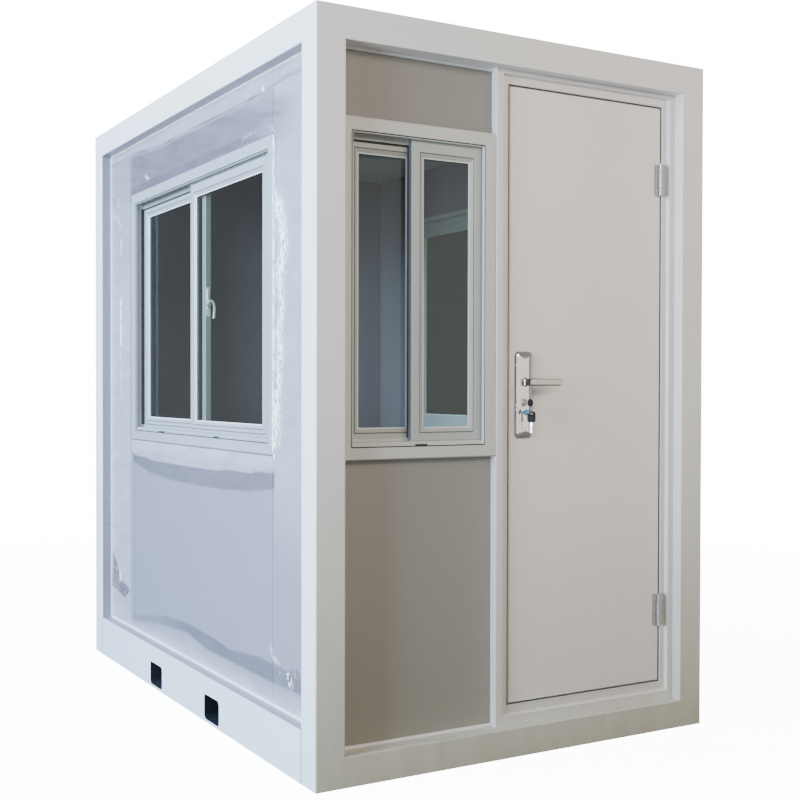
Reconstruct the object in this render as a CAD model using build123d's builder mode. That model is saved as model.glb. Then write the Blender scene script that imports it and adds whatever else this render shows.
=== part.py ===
"""Security guard booth: a steel frame of folded posts and rails, closed with sandwich panels.

Millimetres. X runs along the front, Y from the front to the back, Z up.
The origin is on the ground under the middle of the booth, and the front faces -Y.
Every wall is recessed from the outer face of the posts by its own named depth.
"""

import os

from build123d import *

# ---- overall size ----
booth_width = 1550.0
booth_depth = 2250.0
booth_height = 2350.0

# ---- frame of posts and rails ----
post_size = 100.0
post_corner_radius = 4.0
top_rail_height = 100.0
bottom_rail_height = 165.0
front_sill_height = 95.0
side_rail_width = 100.0
back_rail_width = 100.0
front_rail_width = 120.0

# ---- floor, ceiling and roof ----
floor_thickness = 45.0
ceiling_thickness = 50.0
roof_thickness = 12.0
roof_rib_height = 22.0
roof_rib_foot = 50.0
roof_rib_crest = 26.0
roof_rib_spacing = 200.0
roof_rib_end_gap = 30.0

# ---- walls of sandwich panel ----
panel_thickness = 50.0
side_recess = 50.0
back_recess = 50.0
front_recess = 70.0

# ---- fork pockets ----
pocket_width = 140.0
pocket_height = 90.0
pocket_wall = 5.0
pocket_radius = 16.0
pocket_lift = 10.0
pocket_spacing = 592.0

# ---- windows ----
window_head_drop = 215.0
window_height = 1050.0
side_window_width = 1460.0
window_recess = 42.0
window_lap = 20.0
window_face = 48.0
window_sill_face = 44.0
window_lip_depth = 12.0
window_depth = 78.0
window_seat = 40.0
window_sill_seat = 54.0
window_head_rib = 22.0
window_sill_rib = 10.0
sash_stile = 50.0
meeting_stile = 45.0
sash_top_rail = 59.0
sash_bottom_rail = 41.0
sash_thickness = 22.0
sash_setback = 18.0
sash_gap = 4.0
left_sash_slid_open = 45.0
glass_thickness = 6.0

# ---- door and its frame ----
leaf_width = 657.0
leaf_thickness = 40.0
threshold_height = 65.0
latch_gap = 8.0
hinge_gap = 5.0
head_gap = 5.0
foot_gap = 5.0
jamb_width = 51.0
head_width = 45.0
door_band_width = 20.0
door_band_height = 20.0
door_foot_band = 45.0
door_band_recess = 38.0
door_band_slope = 16.0
door_recess = 50.0
stop_clearance = 5.0
stop_thickness = 15.0
stop_width = 15.0
frame_depth = 70.0

# ---- hinges ----
hinge_height = 110.0
hinge_inset = 255.0
hinge_radius = 8.0
hinge_edge_offset = 6.0
hinge_plate_width = 12.0
hinge_seat_width = 14.0
hinge_plate_thickness = 3.0
hinge_pin_radius = 4.0
hinge_pin_clearance = 0.5
knuckle_gap = 1.0

# ---- lock ----
plate_width = 64.0
plate_height = 286.0
plate_thickness = 13.0
plate_radius = 10.0
plate_inset = 56.0
plate_height_above_leaf = 1020.0
spindle_above_plate_middle = 42.0
cylinder_below_plate_middle = 26.0
hub_radius = 12.0
hub_clearance = 1.0
hub_seat = 6.0
spindle_size = 8.0
neck_length = 34.0
lever_length = 118.0
lever_height = 24.0
lever_thickness = 14.0
lever_end_radius = 10.0
cylinder_radius = 9.0
cylinder_clearance = 0.2
cylinder_proud = 4.0

# ---- keys ----
key_shank_length = 10.0
key_shank_overlap = 3.0
key_blade_width = 8.0
key_blade_thickness = 2.5
key_head_radius = 13.0
key_head_thickness = 6.0
key_hole_radius = 3.0
key_hole_offset = 6.5
ring_radius = 13.0
ring_wire_radius = 1.0
ring_play = 0.8
key_slot_width = 14.0
key_slot_height = 6.0
key_slot_radius = 2.5
key_slot_margin = 4.0
spare_head_width = 29.0
spare_head_height = 36.0
spare_head_radius = 9.0
spare_blade_length = 35.0
key_tag_radius = 12.5
key_tag_thickness = 3.0
key_tag_margin = 2.5
key_tag_angle = 60.0
hanging_turn = -60.0

# ---- protective film on the left wall ----
film_thickness = 1.0
film_margin = 6.0
film_window_gap = 3.0

# ---- places worked out from the sizes ----
half_width = booth_width / 2
half_depth = booth_depth / 2
bay_left = -half_width + post_size
bay_right = half_width - post_size
bay_front = -half_depth + post_size
bay_back = half_depth - post_size
head_level = booth_height - top_rail_height
floor_bottom = pocket_lift + pocket_height + pocket_wall
floor_top = floor_bottom + floor_thickness
front_inner = -half_depth + front_rail_width
back_inner = half_depth - back_rail_width
window_sill = head_level - window_head_drop - window_height
opening_bottom = window_sill + window_lap
opening_top = window_sill + window_height - window_lap

door_frame_width = leaf_width + latch_gap + hinge_gap + 2 * jamb_width
door_frame_right = bay_right
door_frame_left = door_frame_right - door_frame_width
door_opening_left = door_frame_left + jamb_width
door_opening_right = door_frame_right - jamb_width
door_opening_top = head_level - head_width
leaf_left = door_opening_left + latch_gap
leaf_right = door_opening_right - hinge_gap
leaf_top = door_opening_top - head_gap
door_opening_bottom = front_sill_height + threshold_height
leaf_bottom = door_opening_bottom + foot_gap
leaf_front = -half_depth + door_recess
leaf_back = leaf_front + leaf_thickness
front_window_width = door_frame_left - bay_left
front_window_middle = (bay_left + door_frame_left) / 2

os.makedirs("parts", exist_ok=True)


def save(part, name):
    """Label a finished piece and write it as its own STEP file."""
    part.label = name
    export_step(part, f"parts/{name}.step")


def slab(x_from, x_to, y_from, y_to, z_from, z_to):
    """A plain rectangular piece between two corners."""
    with BuildPart() as piece:
        with BuildSketch(Plane.XY.offset(z_from)):
            with Locations(((x_from + x_to) / 2, (y_from + y_to) / 2)):
                Rectangle(x_to - x_from, y_to - y_from)
        extrude(amount=z_to - z_from)
    return piece.part


def wall_plane(y):
    """An upright drawing plane at depth y: its X is world X, its Y is world Z, and it faces the back."""
    return Plane(origin=(0, y, 0), x_dir=(1, 0, 0), z_dir=(0, -1, 0))


def frame_outline(x_from, x_to, z_from, z_to):
    """A rectangle on a wall plane, given by its edges."""
    with Locations(((x_from + x_to) / 2, (z_from + z_to) / 2)):
        Rectangle(x_to - x_from, z_to - z_from)


# ---- posts and rails ----
for side_name, side in (("left", -1), ("right", 1)):
    for end_name, end in (("front", -1), ("back", 1)):
        with BuildPart() as post:
            with BuildSketch():
                with Locations((side * (half_width - post_size / 2), end * (half_depth - post_size / 2))):
                    RectangleRounded(post_size, post_size, post_corner_radius)
            extrude(amount=booth_height)
        save(post.part, f"post_{end_name}_{side_name}")

    outer = side * half_width
    inner = side * (half_width - side_rail_width)
    rail_span = (min(outer, inner), max(outer, inner))
    save(slab(*rail_span, bay_front, bay_back, head_level, booth_height), f"top_rail_{side_name}")

    with BuildPart() as bottom_rail:
        with BuildSketch():
            with Locations(((outer + inner) / 2, 0)):
                Rectangle(side_rail_width, bay_back - bay_front)
        extrude(amount=bottom_rail_height)
        with BuildSketch(Plane.YZ):
            with Locations((-pocket_spacing / 2, pocket_lift + pocket_height / 2),
                           (pocket_spacing / 2, pocket_lift + pocket_height / 2)):
                RectangleRounded(pocket_width + 2 * pocket_wall, pocket_height + 2 * pocket_wall,
                                 pocket_radius + pocket_wall)
        extrude(amount=booth_width, both=True, mode=Mode.SUBTRACT)
    save(bottom_rail.part, f"bottom_rail_{side_name}")

save(slab(bay_left, bay_right, -half_depth, front_inner, head_level, booth_height), "top_rail_front")
save(slab(bay_left, bay_right, back_inner, half_depth, head_level, booth_height), "top_rail_back")
save(slab(bay_left, bay_right, -half_depth, front_inner, 0, front_sill_height), "bottom_rail_front")
save(slab(bay_left, bay_right, back_inner, half_depth, 0, bottom_rail_height), "bottom_rail_back")

# ---- fork tubes, right through the base from side to side ----
with BuildPart() as fork_tubes:
    with BuildSketch(Plane.YZ) as tube_profile:
        with Locations((-pocket_spacing / 2, pocket_lift + pocket_height / 2),
                       (pocket_spacing / 2, pocket_lift + pocket_height / 2)):
            RectangleRounded(pocket_width + 2 * pocket_wall, pocket_height + 2 * pocket_wall,
                             pocket_radius + pocket_wall)
            RectangleRounded(pocket_width, pocket_height, pocket_radius, mode=Mode.SUBTRACT)
    extrude(amount=half_width, both=True)
save(fork_tubes.part, "fork_tubes")

# ---- floor, ceiling and roof ----
save(slab(bay_left, bay_right, front_inner, back_inner, floor_bottom, floor_top), "floor")
ceiling_top = head_level + ceiling_thickness
save(slab(bay_left, bay_right, front_inner, back_inner, head_level, ceiling_top), "ceiling")
roof_top = ceiling_top + roof_thickness
roof_rib_count = 1 + int((bay_right - bay_left - roof_rib_foot) // roof_rib_spacing)
with BuildPart() as roof_sheet:
    add(slab(bay_left, bay_right, front_inner, back_inner, ceiling_top, roof_top))
    with BuildSketch(wall_plane(front_inner + roof_rib_end_gap)):
        with Locations(((bay_left + bay_right) / 2, roof_top)):
            with GridLocations(roof_rib_spacing, 0, roof_rib_count, 1):
                Polygon((-roof_rib_foot / 2, 0), (roof_rib_foot / 2, 0),
                        (roof_rib_crest / 2, roof_rib_height), (-roof_rib_crest / 2, roof_rib_height),
                        align=None)
    extrude(amount=-(back_inner - front_inner - 2 * roof_rib_end_gap))
save(roof_sheet.part, "roof_sheet")

# ---- side walls, split beside, over and under the window ----
window_half = side_window_width / 2 - window_lap
for side_name, side in (("left", -1), ("right", 1)):
    face = side * (half_width - side_recess)
    back = side * (half_width - side_recess - panel_thickness)
    span = (min(face, back), max(face, back))
    for place, y_from, y_to, z_from, z_to in (
        ("front", bay_front, -window_half, bottom_rail_height, head_level),
        ("back", window_half, bay_back, bottom_rail_height, head_level),
        ("lower", -window_half, window_half, bottom_rail_height, opening_bottom),
        ("upper", -window_half, window_half, opening_top, head_level),
    ):
        save(slab(*span, y_from, y_to, z_from, z_to), f"{side_name}_wall_{place}_panel")

# ---- back wall of two panels ----
back_face = half_depth - back_recess
for place, x_from, x_to in (("left", bay_left, 0), ("right", 0, bay_right)):
    save(slab(x_from, x_to, back_face - panel_thickness, back_face, bottom_rail_height, head_level),
         f"back_wall_{place}_panel")

# ---- front wall beside the door ----
front_face = -half_depth + front_recess
for place, z_from, z_to in (("lower", front_sill_height, opening_bottom), ("upper", opening_top, head_level)):
    save(slab(bay_left, door_frame_left, front_face, front_face + panel_thickness, z_from, z_to),
         f"front_wall_{place}_panel")


def sliding_window(width, side_lap, flange_thickness, slid_open):
    """A two-sash sliding window: its frame, its pair of sashes and their glass.

    It stands on its own sill at z = 0, its outer face at y = 0 and its inside towards +Y.
    The sash in the outer track is on the right as seen from outside, and stands slid_open from its jamb.
    """
    half = width / 2
    face_half = half - window_face
    seat_half = half - window_seat
    seat_top = window_height - window_seat
    rib_front = sash_setback + sash_thickness

    with BuildPart() as frame:
        with BuildSketch(wall_plane(0)):
            frame_outline(-half, half, 0, window_height)
        extrude(amount=-flange_thickness)
        with BuildSketch(wall_plane(flange_thickness)):
            frame_outline(-half + side_lap, half - side_lap, window_lap, window_height - window_lap)
        extrude(amount=flange_thickness - window_depth)
        with BuildSketch(wall_plane(0)):
            frame_outline(-face_half, face_half, window_sill_face, window_height - window_face)
        extrude(amount=-window_lip_depth, mode=Mode.SUBTRACT)
        with BuildSketch(wall_plane(window_lip_depth)):
            frame_outline(-seat_half, seat_half, window_sill_seat, seat_top)
        extrude(amount=window_lip_depth - window_depth, mode=Mode.SUBTRACT)
        with BuildSketch(wall_plane(rib_front)):
            frame_outline(-seat_half, seat_half, seat_top - window_head_rib, seat_top)
            frame_outline(-seat_half, seat_half, window_sill_seat, window_sill_seat + window_sill_rib)
        extrude(amount=-sash_gap)

    each_sash = seat_half + meeting_stile / 2
    outer_end = seat_half - slid_open
    tracks = (
        (outer_end - each_sash, outer_end, meeting_stile, sash_stile, sash_setback),
        (-seat_half, -seat_half + each_sash, sash_stile, meeting_stile, rib_front + sash_gap),
    )
    glass_bottom = window_sill_seat + sash_bottom_rail
    glass_top = seat_top - sash_top_rail
    with BuildPart() as sashes:
        for x_from, x_to, left_stile, right_stile, y_face in tracks:
            with BuildSketch(wall_plane(y_face)):
                frame_outline(x_from, x_to, window_sill_seat, seat_top)
                pane_middle = (x_from + left_stile + x_to - right_stile) / 2
                with Locations((pane_middle, (glass_bottom + glass_top) / 2)):
                    Rectangle(each_sash - left_stile - right_stile, glass_top - glass_bottom,
                              mode=Mode.SUBTRACT)
            extrude(amount=-sash_thickness)
    with BuildPart() as glass:
        for x_from, x_to, left_stile, right_stile, y_face in tracks:
            with BuildSketch(wall_plane(y_face + (sash_thickness - glass_thickness) / 2)):
                frame_outline(x_from + left_stile, x_to - right_stile, glass_bottom, glass_top)
            extrude(amount=-glass_thickness)
    return frame.part, sashes.part, glass.part


# ---- windows: front, left and right ----
front_flange = front_recess - window_recess
side_flange = side_recess - window_recess
window_places = (
    ("front", front_window_width, 0.0, front_flange, 0.0,
     Location((front_window_middle, -half_depth + window_recess, window_sill))),
    ("left", side_window_width, window_lap, side_flange, left_sash_slid_open,
     Location((-half_width + window_recess, 0, window_sill), (0, 0, -90))),
    ("right", side_window_width, window_lap, side_flange, 0.0,
     Location((half_width - window_recess, 0, window_sill), (0, 0, 90))),
)
for wall_name, width, side_lap, flange_thickness, slid_open, place in window_places:
    frame, sashes, glass = sliding_window(width, side_lap, flange_thickness, slid_open)
    save(frame.moved(place), f"{wall_name}_window_frame")
    save(sashes.moved(place), f"{wall_name}_window_sashes")
    save(glass.moved(place), f"{wall_name}_window_glass")

# ---- door frame: a flat outer band, a slope, an inner band level with the leaf, and a stop ----
band_plane_y = -half_depth + door_band_recess
stop_front = leaf_back + stop_clearance
with BuildPart() as door_frame:
    with BuildSketch(wall_plane(band_plane_y)):
        frame_outline(door_frame_left, door_frame_right, front_sill_height, head_level)
    extrude(amount=-(door_recess - door_band_recess + frame_depth))
    with BuildSketch(wall_plane(band_plane_y)):
        frame_outline(door_frame_left + door_band_width, door_frame_right - door_band_width,
                      front_sill_height + door_foot_band, head_level - door_band_height)
    with BuildSketch(wall_plane(leaf_front)):
        frame_outline(door_frame_left + door_band_width + door_band_slope,
                      door_frame_right - door_band_width - door_band_slope,
                      front_sill_height + door_foot_band + door_band_slope,
                      head_level - door_band_height - door_band_slope)
    loft(mode=Mode.SUBTRACT)
    with BuildSketch(wall_plane(leaf_front)):
        frame_outline(door_opening_left, door_opening_right, door_opening_bottom, door_opening_top)
    extrude(amount=-(stop_front - leaf_front), mode=Mode.SUBTRACT)
    with BuildSketch(wall_plane(stop_front)):
        frame_outline(door_opening_left + stop_width, door_opening_right - stop_width,
                      door_opening_bottom + stop_width, door_opening_top - stop_width)
    extrude(amount=-frame_depth, mode=Mode.SUBTRACT)
    with BuildSketch(wall_plane(stop_front + stop_thickness)):
        frame_outline(door_opening_left, door_opening_right, door_opening_bottom, door_opening_top)
    extrude(amount=-frame_depth, mode=Mode.SUBTRACT)
save(door_frame.part, "door_frame")

# ---- protective film over the left wall, cut round the window ----
film_face = -half_width + side_recess - film_thickness
film_window_half = side_window_width / 2 + film_window_gap
with BuildPart() as film:
    with BuildSketch(Plane.YZ.offset(film_face)):
        with Locations((0, (bottom_rail_height + head_level) / 2)):
            Rectangle(bay_back - bay_front - 2 * film_margin,
                      head_level - bottom_rail_height - 2 * film_margin)
        with Locations((0, window_sill + window_height / 2)):
            Rectangle(2 * film_window_half, window_height + 2 * film_window_gap, mode=Mode.SUBTRACT)
    extrude(amount=film_thickness)
save(film.part, "protective_film")

# ---- hinges: the frame half holds the pin, the leaf half turns on it ----
hinge_x = leaf_right - hinge_edge_offset
hinge_y = leaf_front - hinge_radius
hinge_levels = (leaf_bottom + hinge_inset, leaf_top - hinge_inset)
end_knuckle = (hinge_height - 2 * knuckle_gap) / 4
middle_knuckle = hinge_height / 2 - knuckle_gap
plate_face_y = leaf_front - hinge_plate_thickness
frame_plate_end = door_opening_right + hinge_seat_width
with BuildPart() as frame_hinges:
    for level in hinge_levels:
        for end_bottom in (level - hinge_height / 2, level + hinge_height / 2 - end_knuckle):
            with BuildSketch(Plane.XY.offset(end_bottom)):
                with Locations((hinge_x, hinge_y)):
                    Circle(hinge_radius)
                with Locations(((hinge_x + door_opening_right) / 2,
                                plate_face_y + (hinge_plate_thickness - knuckle_gap) / 2)):
                    Rectangle(door_opening_right - hinge_x, hinge_plate_thickness - knuckle_gap)
            extrude(amount=end_knuckle)
        with BuildSketch(Plane.XY.offset(level - hinge_height / 2)):
            with Locations(((hinge_x + hinge_radius + knuckle_gap + frame_plate_end) / 2,
                            plate_face_y + (hinge_plate_thickness - knuckle_gap) / 2)):
                Rectangle(frame_plate_end - hinge_x - hinge_radius - knuckle_gap,
                          hinge_plate_thickness - knuckle_gap)
            with Locations(((door_opening_right + frame_plate_end) / 2,
                            leaf_front - hinge_plate_thickness / 2)):
                Rectangle(frame_plate_end - door_opening_right, hinge_plate_thickness)
            with Locations((hinge_x, hinge_y)):
                Circle(hinge_pin_radius)
        extrude(amount=hinge_height)
save(frame_hinges.part, "hinge_frame_halves")

leaf_plate_end = hinge_x - hinge_radius - knuckle_gap
with BuildPart() as leaf_hinges:
    for level in hinge_levels:
        with BuildSketch(Plane.XY.offset(level - middle_knuckle / 2)):
            with Locations((hinge_x, hinge_y)):
                Circle(hinge_radius)
            with Locations(((hinge_x + leaf_plate_end) / 2, leaf_front - hinge_plate_thickness / 2)):
                Rectangle(hinge_x - leaf_plate_end, hinge_plate_thickness)
            with Locations((hinge_x, hinge_y)):
                Circle(hinge_pin_radius + hinge_pin_clearance, mode=Mode.SUBTRACT)
        extrude(amount=middle_knuckle)
        with BuildSketch(Plane.XY.offset(level - hinge_height / 2)):
            with Locations((leaf_plate_end - hinge_plate_width / 2, leaf_front - hinge_plate_thickness / 2)):
                Rectangle(hinge_plate_width, hinge_plate_thickness)
        extrude(amount=hinge_height)
save(leaf_hinges.part, "hinge_leaf_halves")

# ---- door leaf, bored for the spindle and the lock cylinder ----
lock_x = leaf_left + plate_inset
lock_z = leaf_bottom + plate_height_above_leaf
spindle_z = lock_z + spindle_above_plate_middle
cylinder_z = lock_z - cylinder_below_plate_middle
hub_bore = hub_radius + hub_clearance
cylinder_bore = cylinder_radius + cylinder_clearance
with BuildPart() as leaf:
    with BuildSketch(wall_plane(leaf_front)):
        frame_outline(leaf_left, leaf_right, leaf_bottom, leaf_top)
        with Locations((lock_x, spindle_z)):
            Circle(hub_bore, mode=Mode.SUBTRACT)
        with Locations((lock_x, cylinder_z)):
            Circle(cylinder_bore, mode=Mode.SUBTRACT)
    extrude(amount=-leaf_thickness)
save(leaf.part, "door_leaf")

# ---- lock plates outside and inside ----
with BuildPart() as lock_plates:
    for plate_y in (leaf_front - plate_thickness, leaf_back):
        with BuildSketch(wall_plane(plate_y)):
            with Locations((lock_x, lock_z)):
                RectangleRounded(plate_width, plate_height, plate_radius)
            with Locations((lock_x, spindle_z)):
                Circle(hub_bore, mode=Mode.SUBTRACT)
            with Locations((lock_x, cylinder_z)):
                Circle(cylinder_bore, mode=Mode.SUBTRACT)
        extrude(amount=-plate_thickness)
save(lock_plates.part, "lock_plates")

# ---- lock cylinder through the leaf and both plates ----
cylinder_front = leaf_front - plate_thickness - cylinder_proud
with BuildPart() as lock_cylinder:
    with BuildSketch(wall_plane(cylinder_front)):
        with Locations((lock_x, cylinder_z)):
            Circle(cylinder_radius)
    extrude(amount=-(leaf_thickness + 2 * plate_thickness + 2 * cylinder_proud))
save(lock_cylinder.part, "lock_cylinder")

# ---- lever handles outside and inside on one spindle ----
outer_hub_front = leaf_front - plate_thickness - neck_length
inner_hub_back = leaf_back + plate_thickness + neck_length
with BuildPart() as lever:
    with BuildSketch(wall_plane(outer_hub_front)):
        with Locations((lock_x, spindle_z)):
            Rectangle(spindle_size, spindle_size)
    extrude(amount=-(inner_hub_back - outer_hub_front))
    for hub_front in (outer_hub_front, inner_hub_back - neck_length - hub_seat):
        with BuildSketch(wall_plane(hub_front)):
            with Locations((lock_x, spindle_z)):
                Circle(hub_radius)
        extrude(amount=-(neck_length + hub_seat))
    for bar_front in (outer_hub_front - lever_thickness, inner_hub_back):
        with BuildSketch(wall_plane(bar_front)):
            with Locations((lock_x + lever_length / 2 - hub_radius / 2, spindle_z)):
                RectangleRounded(lever_length + hub_radius, lever_height, lever_end_radius)
        extrude(amount=-lever_thickness)
save(lever.part, "lever_handle")

# ---- the key in the lock, its ring, and a spare key and a tag that hang on the ring ----
key_head_y = cylinder_front - key_shank_length - key_head_radius
ring_hole_y = key_head_y - key_hole_offset
ring_hole_z = cylinder_z - key_hole_offset
ring_top_z = ring_hole_z - key_hole_radius + ring_wire_radius + ring_play
ring_middle = (lock_x, ring_hole_y, ring_top_z - ring_radius)
slot_top = ring_wire_radius + ring_play
with BuildPart() as spare_key:
    with BuildSketch(wall_plane(-key_head_thickness / 2)):
        with Locations((0, slot_top + key_slot_margin - spare_head_height / 2)):
            RectangleRounded(spare_head_width, spare_head_height, spare_head_radius)
        with Locations((0, slot_top - key_slot_height / 2)):
            RectangleRounded(key_slot_width, key_slot_height, key_slot_radius, mode=Mode.SUBTRACT)
    extrude(amount=-key_head_thickness)
    with BuildSketch(wall_plane(-key_blade_thickness / 2)):
        with Locations((0, slot_top + key_slot_margin - spare_head_height - spare_blade_length / 2)):
            Rectangle(key_blade_width, spare_blade_length)
    extrude(amount=-key_blade_thickness)

with BuildPart() as key_tag:
    with BuildSketch(wall_plane(-key_tag_thickness / 2)):
        with Locations((0, slot_top + key_tag_margin - key_tag_radius)):
            Circle(key_tag_radius)
        with Locations((0, slot_top - key_hole_radius)):
            Circle(key_hole_radius, mode=Mode.SUBTRACT)
    extrude(amount=-key_tag_thickness)

with BuildPart() as keys:
    with BuildSketch(Plane.YZ.offset(lock_x - key_head_thickness / 2)):
        with Locations((key_head_y, cylinder_z)):
            Circle(key_head_radius)
        with Locations((ring_hole_y, ring_hole_z)):
            Circle(key_hole_radius, mode=Mode.SUBTRACT)
    extrude(amount=key_head_thickness)
    with BuildSketch(wall_plane(key_head_y + key_head_radius - key_shank_overlap)):
        with Locations((lock_x, cylinder_z)):
            Rectangle(key_blade_thickness, key_blade_width)
    extrude(amount=-(key_shank_length + key_shank_overlap))
    with BuildSketch(Plane.YZ.offset(lock_x)):
        with Locations((ring_hole_y, ring_top_z)):
            Circle(ring_wire_radius)
    revolve(axis=Axis(ring_middle, (0, 1, 0)))
    for hanging, hang_angle in ((spare_key, 0), (key_tag, key_tag_angle)):
        spot = Location(ring_middle, (0, hang_angle, 0)) * Location((0, 0, -ring_radius), (0, 0, hanging_turn))
        add(hanging.part.moved(spot))
save(keys.part, "keys")
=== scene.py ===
"""The looks of a security guard booth: welded posts and rails, insulated wall panels, three sliding
windows, a steel door with its lock and keys, and the clear film still on the left wall."""

import math

import bmesh
import bpy
import numpy as np
from mathutils import Matrix, Vector, noise


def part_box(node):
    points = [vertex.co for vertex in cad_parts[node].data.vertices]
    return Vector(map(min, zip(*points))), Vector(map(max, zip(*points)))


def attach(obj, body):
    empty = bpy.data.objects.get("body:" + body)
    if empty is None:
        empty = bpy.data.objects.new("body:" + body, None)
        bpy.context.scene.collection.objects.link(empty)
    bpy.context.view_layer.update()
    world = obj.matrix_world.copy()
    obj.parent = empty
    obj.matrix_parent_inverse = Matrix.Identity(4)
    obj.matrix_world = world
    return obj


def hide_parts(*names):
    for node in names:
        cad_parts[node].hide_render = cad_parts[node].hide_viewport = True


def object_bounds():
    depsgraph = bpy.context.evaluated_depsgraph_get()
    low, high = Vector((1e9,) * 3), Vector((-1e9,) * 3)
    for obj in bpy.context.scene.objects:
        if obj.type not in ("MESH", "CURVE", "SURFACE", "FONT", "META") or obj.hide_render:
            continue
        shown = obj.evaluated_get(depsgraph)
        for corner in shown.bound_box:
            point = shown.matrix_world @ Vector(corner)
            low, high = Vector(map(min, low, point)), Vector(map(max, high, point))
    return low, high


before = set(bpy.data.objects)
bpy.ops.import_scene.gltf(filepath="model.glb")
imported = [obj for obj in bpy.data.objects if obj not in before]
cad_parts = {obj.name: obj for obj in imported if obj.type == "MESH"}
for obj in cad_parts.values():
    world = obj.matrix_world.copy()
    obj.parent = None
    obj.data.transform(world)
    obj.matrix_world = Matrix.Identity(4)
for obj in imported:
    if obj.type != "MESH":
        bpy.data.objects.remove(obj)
cad_low, cad_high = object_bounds()

half_width, half_depth = cad_high.x, cad_high.y
post_size = 0.1
bay_back = half_depth - post_size

# ---- camera ----
camera_place = Vector((-2.3698, -4.2957, 1.2074))
camera_yaw, camera_pitch, camera_roll = (math.radians(a) for a in (29.368, -0.823, -0.093))
sensor_width, focal_length, camera_shift = 36.0, 53.964, (0.03525, 0.006375)


def make_camera():
    """A nearly level camera off the front left corner."""
    data = bpy.data.cameras.new("camera")
    data.sensor_width, data.lens = sensor_width, focal_length
    data.shift_x, data.shift_y = camera_shift
    ahead = Vector((math.sin(camera_yaw) * math.cos(camera_pitch),
                    math.cos(camera_yaw) * math.cos(camera_pitch), math.sin(camera_pitch)))
    right = Vector((math.cos(camera_yaw), -math.sin(camera_yaw), 0.0))
    down = ahead.cross(right)
    turned = right * math.cos(camera_roll) + down * math.sin(camera_roll)
    up = turned.cross(ahead)
    camera = bpy.data.objects.new("camera", data)
    rotation = Matrix((turned, up, -ahead)).transposed().to_4x4()
    camera.matrix_world = Matrix.Translation(camera_place) @ rotation
    bpy.context.scene.collection.objects.link(camera)
    bpy.context.scene.camera = camera


make_camera()


# ---- finishes ----
class Finish:
    """A material whose nodes are added one call at a time."""

    def __init__(self, name, **settings):
        self.material = bpy.data.materials.new(name)
        self.material.use_nodes = True
        self.tree = self.material.node_tree
        self.tree.nodes.clear()
        self.output = self.add("OutputMaterial")
        self.shader = self.add("BsdfPrincipled", **settings)
        self.join(self.shader.outputs[0], self.output.inputs[0])
        self.place = self.add("TexCoord").outputs["Object"]

    def join(self, source, target):
        """Link two sockets."""
        self.tree.links.new(source, target)

    def give(self, socket, value):
        """Join a socket to another one, or set its plain value."""
        if isinstance(value, bpy.types.NodeSocket):
            self.join(value, socket)
        else:
            socket.default_value = value

    def add(self, kind, **inputs):
        """Add a node; an input is a socket to join or a plain value, and lower-case words set the node."""
        node = self.tree.nodes.new("ShaderNode" + kind)
        for word, value in inputs.items():
            if word[0].islower():
                setattr(node, word, value)
        for word, value in inputs.items():
            if not word[0].islower():
                self.give(node.inputs[word.replace("_", " ")], value)
        return node

    def noise(self, size, detail=3.0, stretch=(1, 1, 1), roughness=0.5):
        """Cloudy noise whose lumps are about size metres across."""
        place = self.add("Mapping", Vector=self.place, Scale=[s / size for s in stretch])
        return self.add("TexNoise", Vector=place.outputs[0], Scale=1.0, Detail=detail,
                        Roughness=roughness).outputs["Fac"]

    def span(self, value, low, high, to_low=0.0, to_high=1.0):
        """Stretch a value from one range to another, held at the ends."""
        node = self.add("MapRange", Value=value)
        for socket, number in zip(node.inputs[1:5], (low, high, to_low, to_high)):
            socket.default_value = number
        return node.outputs[0]

    def calc(self, a, b, how="MULTIPLY"):
        """Two numbers multiplied, or put together in another way."""
        node = self.add("Math", operation=how)
        self.give(node.inputs[0], a)
        self.give(node.inputs[1], b)
        return node.outputs[0]

    def blend(self, factor, a, b):
        """A colour between a and b."""
        node = self.add("Mix", data_type="RGBA")
        for socket, value in zip((node.inputs[0], node.inputs[6], node.inputs[7]), (factor, a, b)):
            self.give(socket, (*value, 1.0) if isinstance(value, tuple) else value)
        return node.outputs[2]

    def layered(self, under, share, over):
        """A shader with a share of another one laid over it."""
        both = self.add("MixShader", Fac=share)
        self.join(under.outputs[0], both.inputs[1])
        self.join(over.outputs[0], both.inputs[2])
        return both

    def height(self):
        """How high a point is."""
        return self.add("SeparateXYZ", Vector=self.place).outputs["Z"]

    def set(self, word, value):
        """Give one of the shader's inputs a value or a link."""
        self.give(self.shader.inputs[word], value)

    def bump(self, height, depth, strength=1.0):
        """Fine relief, depth metres deep, from a height pattern."""
        node = self.add("Bump", Height=height, Distance=depth, Strength=strength)
        self.set("Normal", node.outputs[0])


def shade(colour, factor):
    """A colour made lighter or darker."""
    return tuple(min(1.0, c * factor) for c in colour)


# the darkening towards the ground: partly dust and partly painted shade along the front, a cool painted shade on the
# left side
darkening_top, front_fade, left_fade, front_face_fade = 1.2, (-1.09, -0.98), (-0.71, -0.70), (-1.121, -1.116)
front_dirt_and_shade, side_painted_shade = (0.30, 0.285, 0.15), (0.62, 0.78, 0.96)


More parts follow.
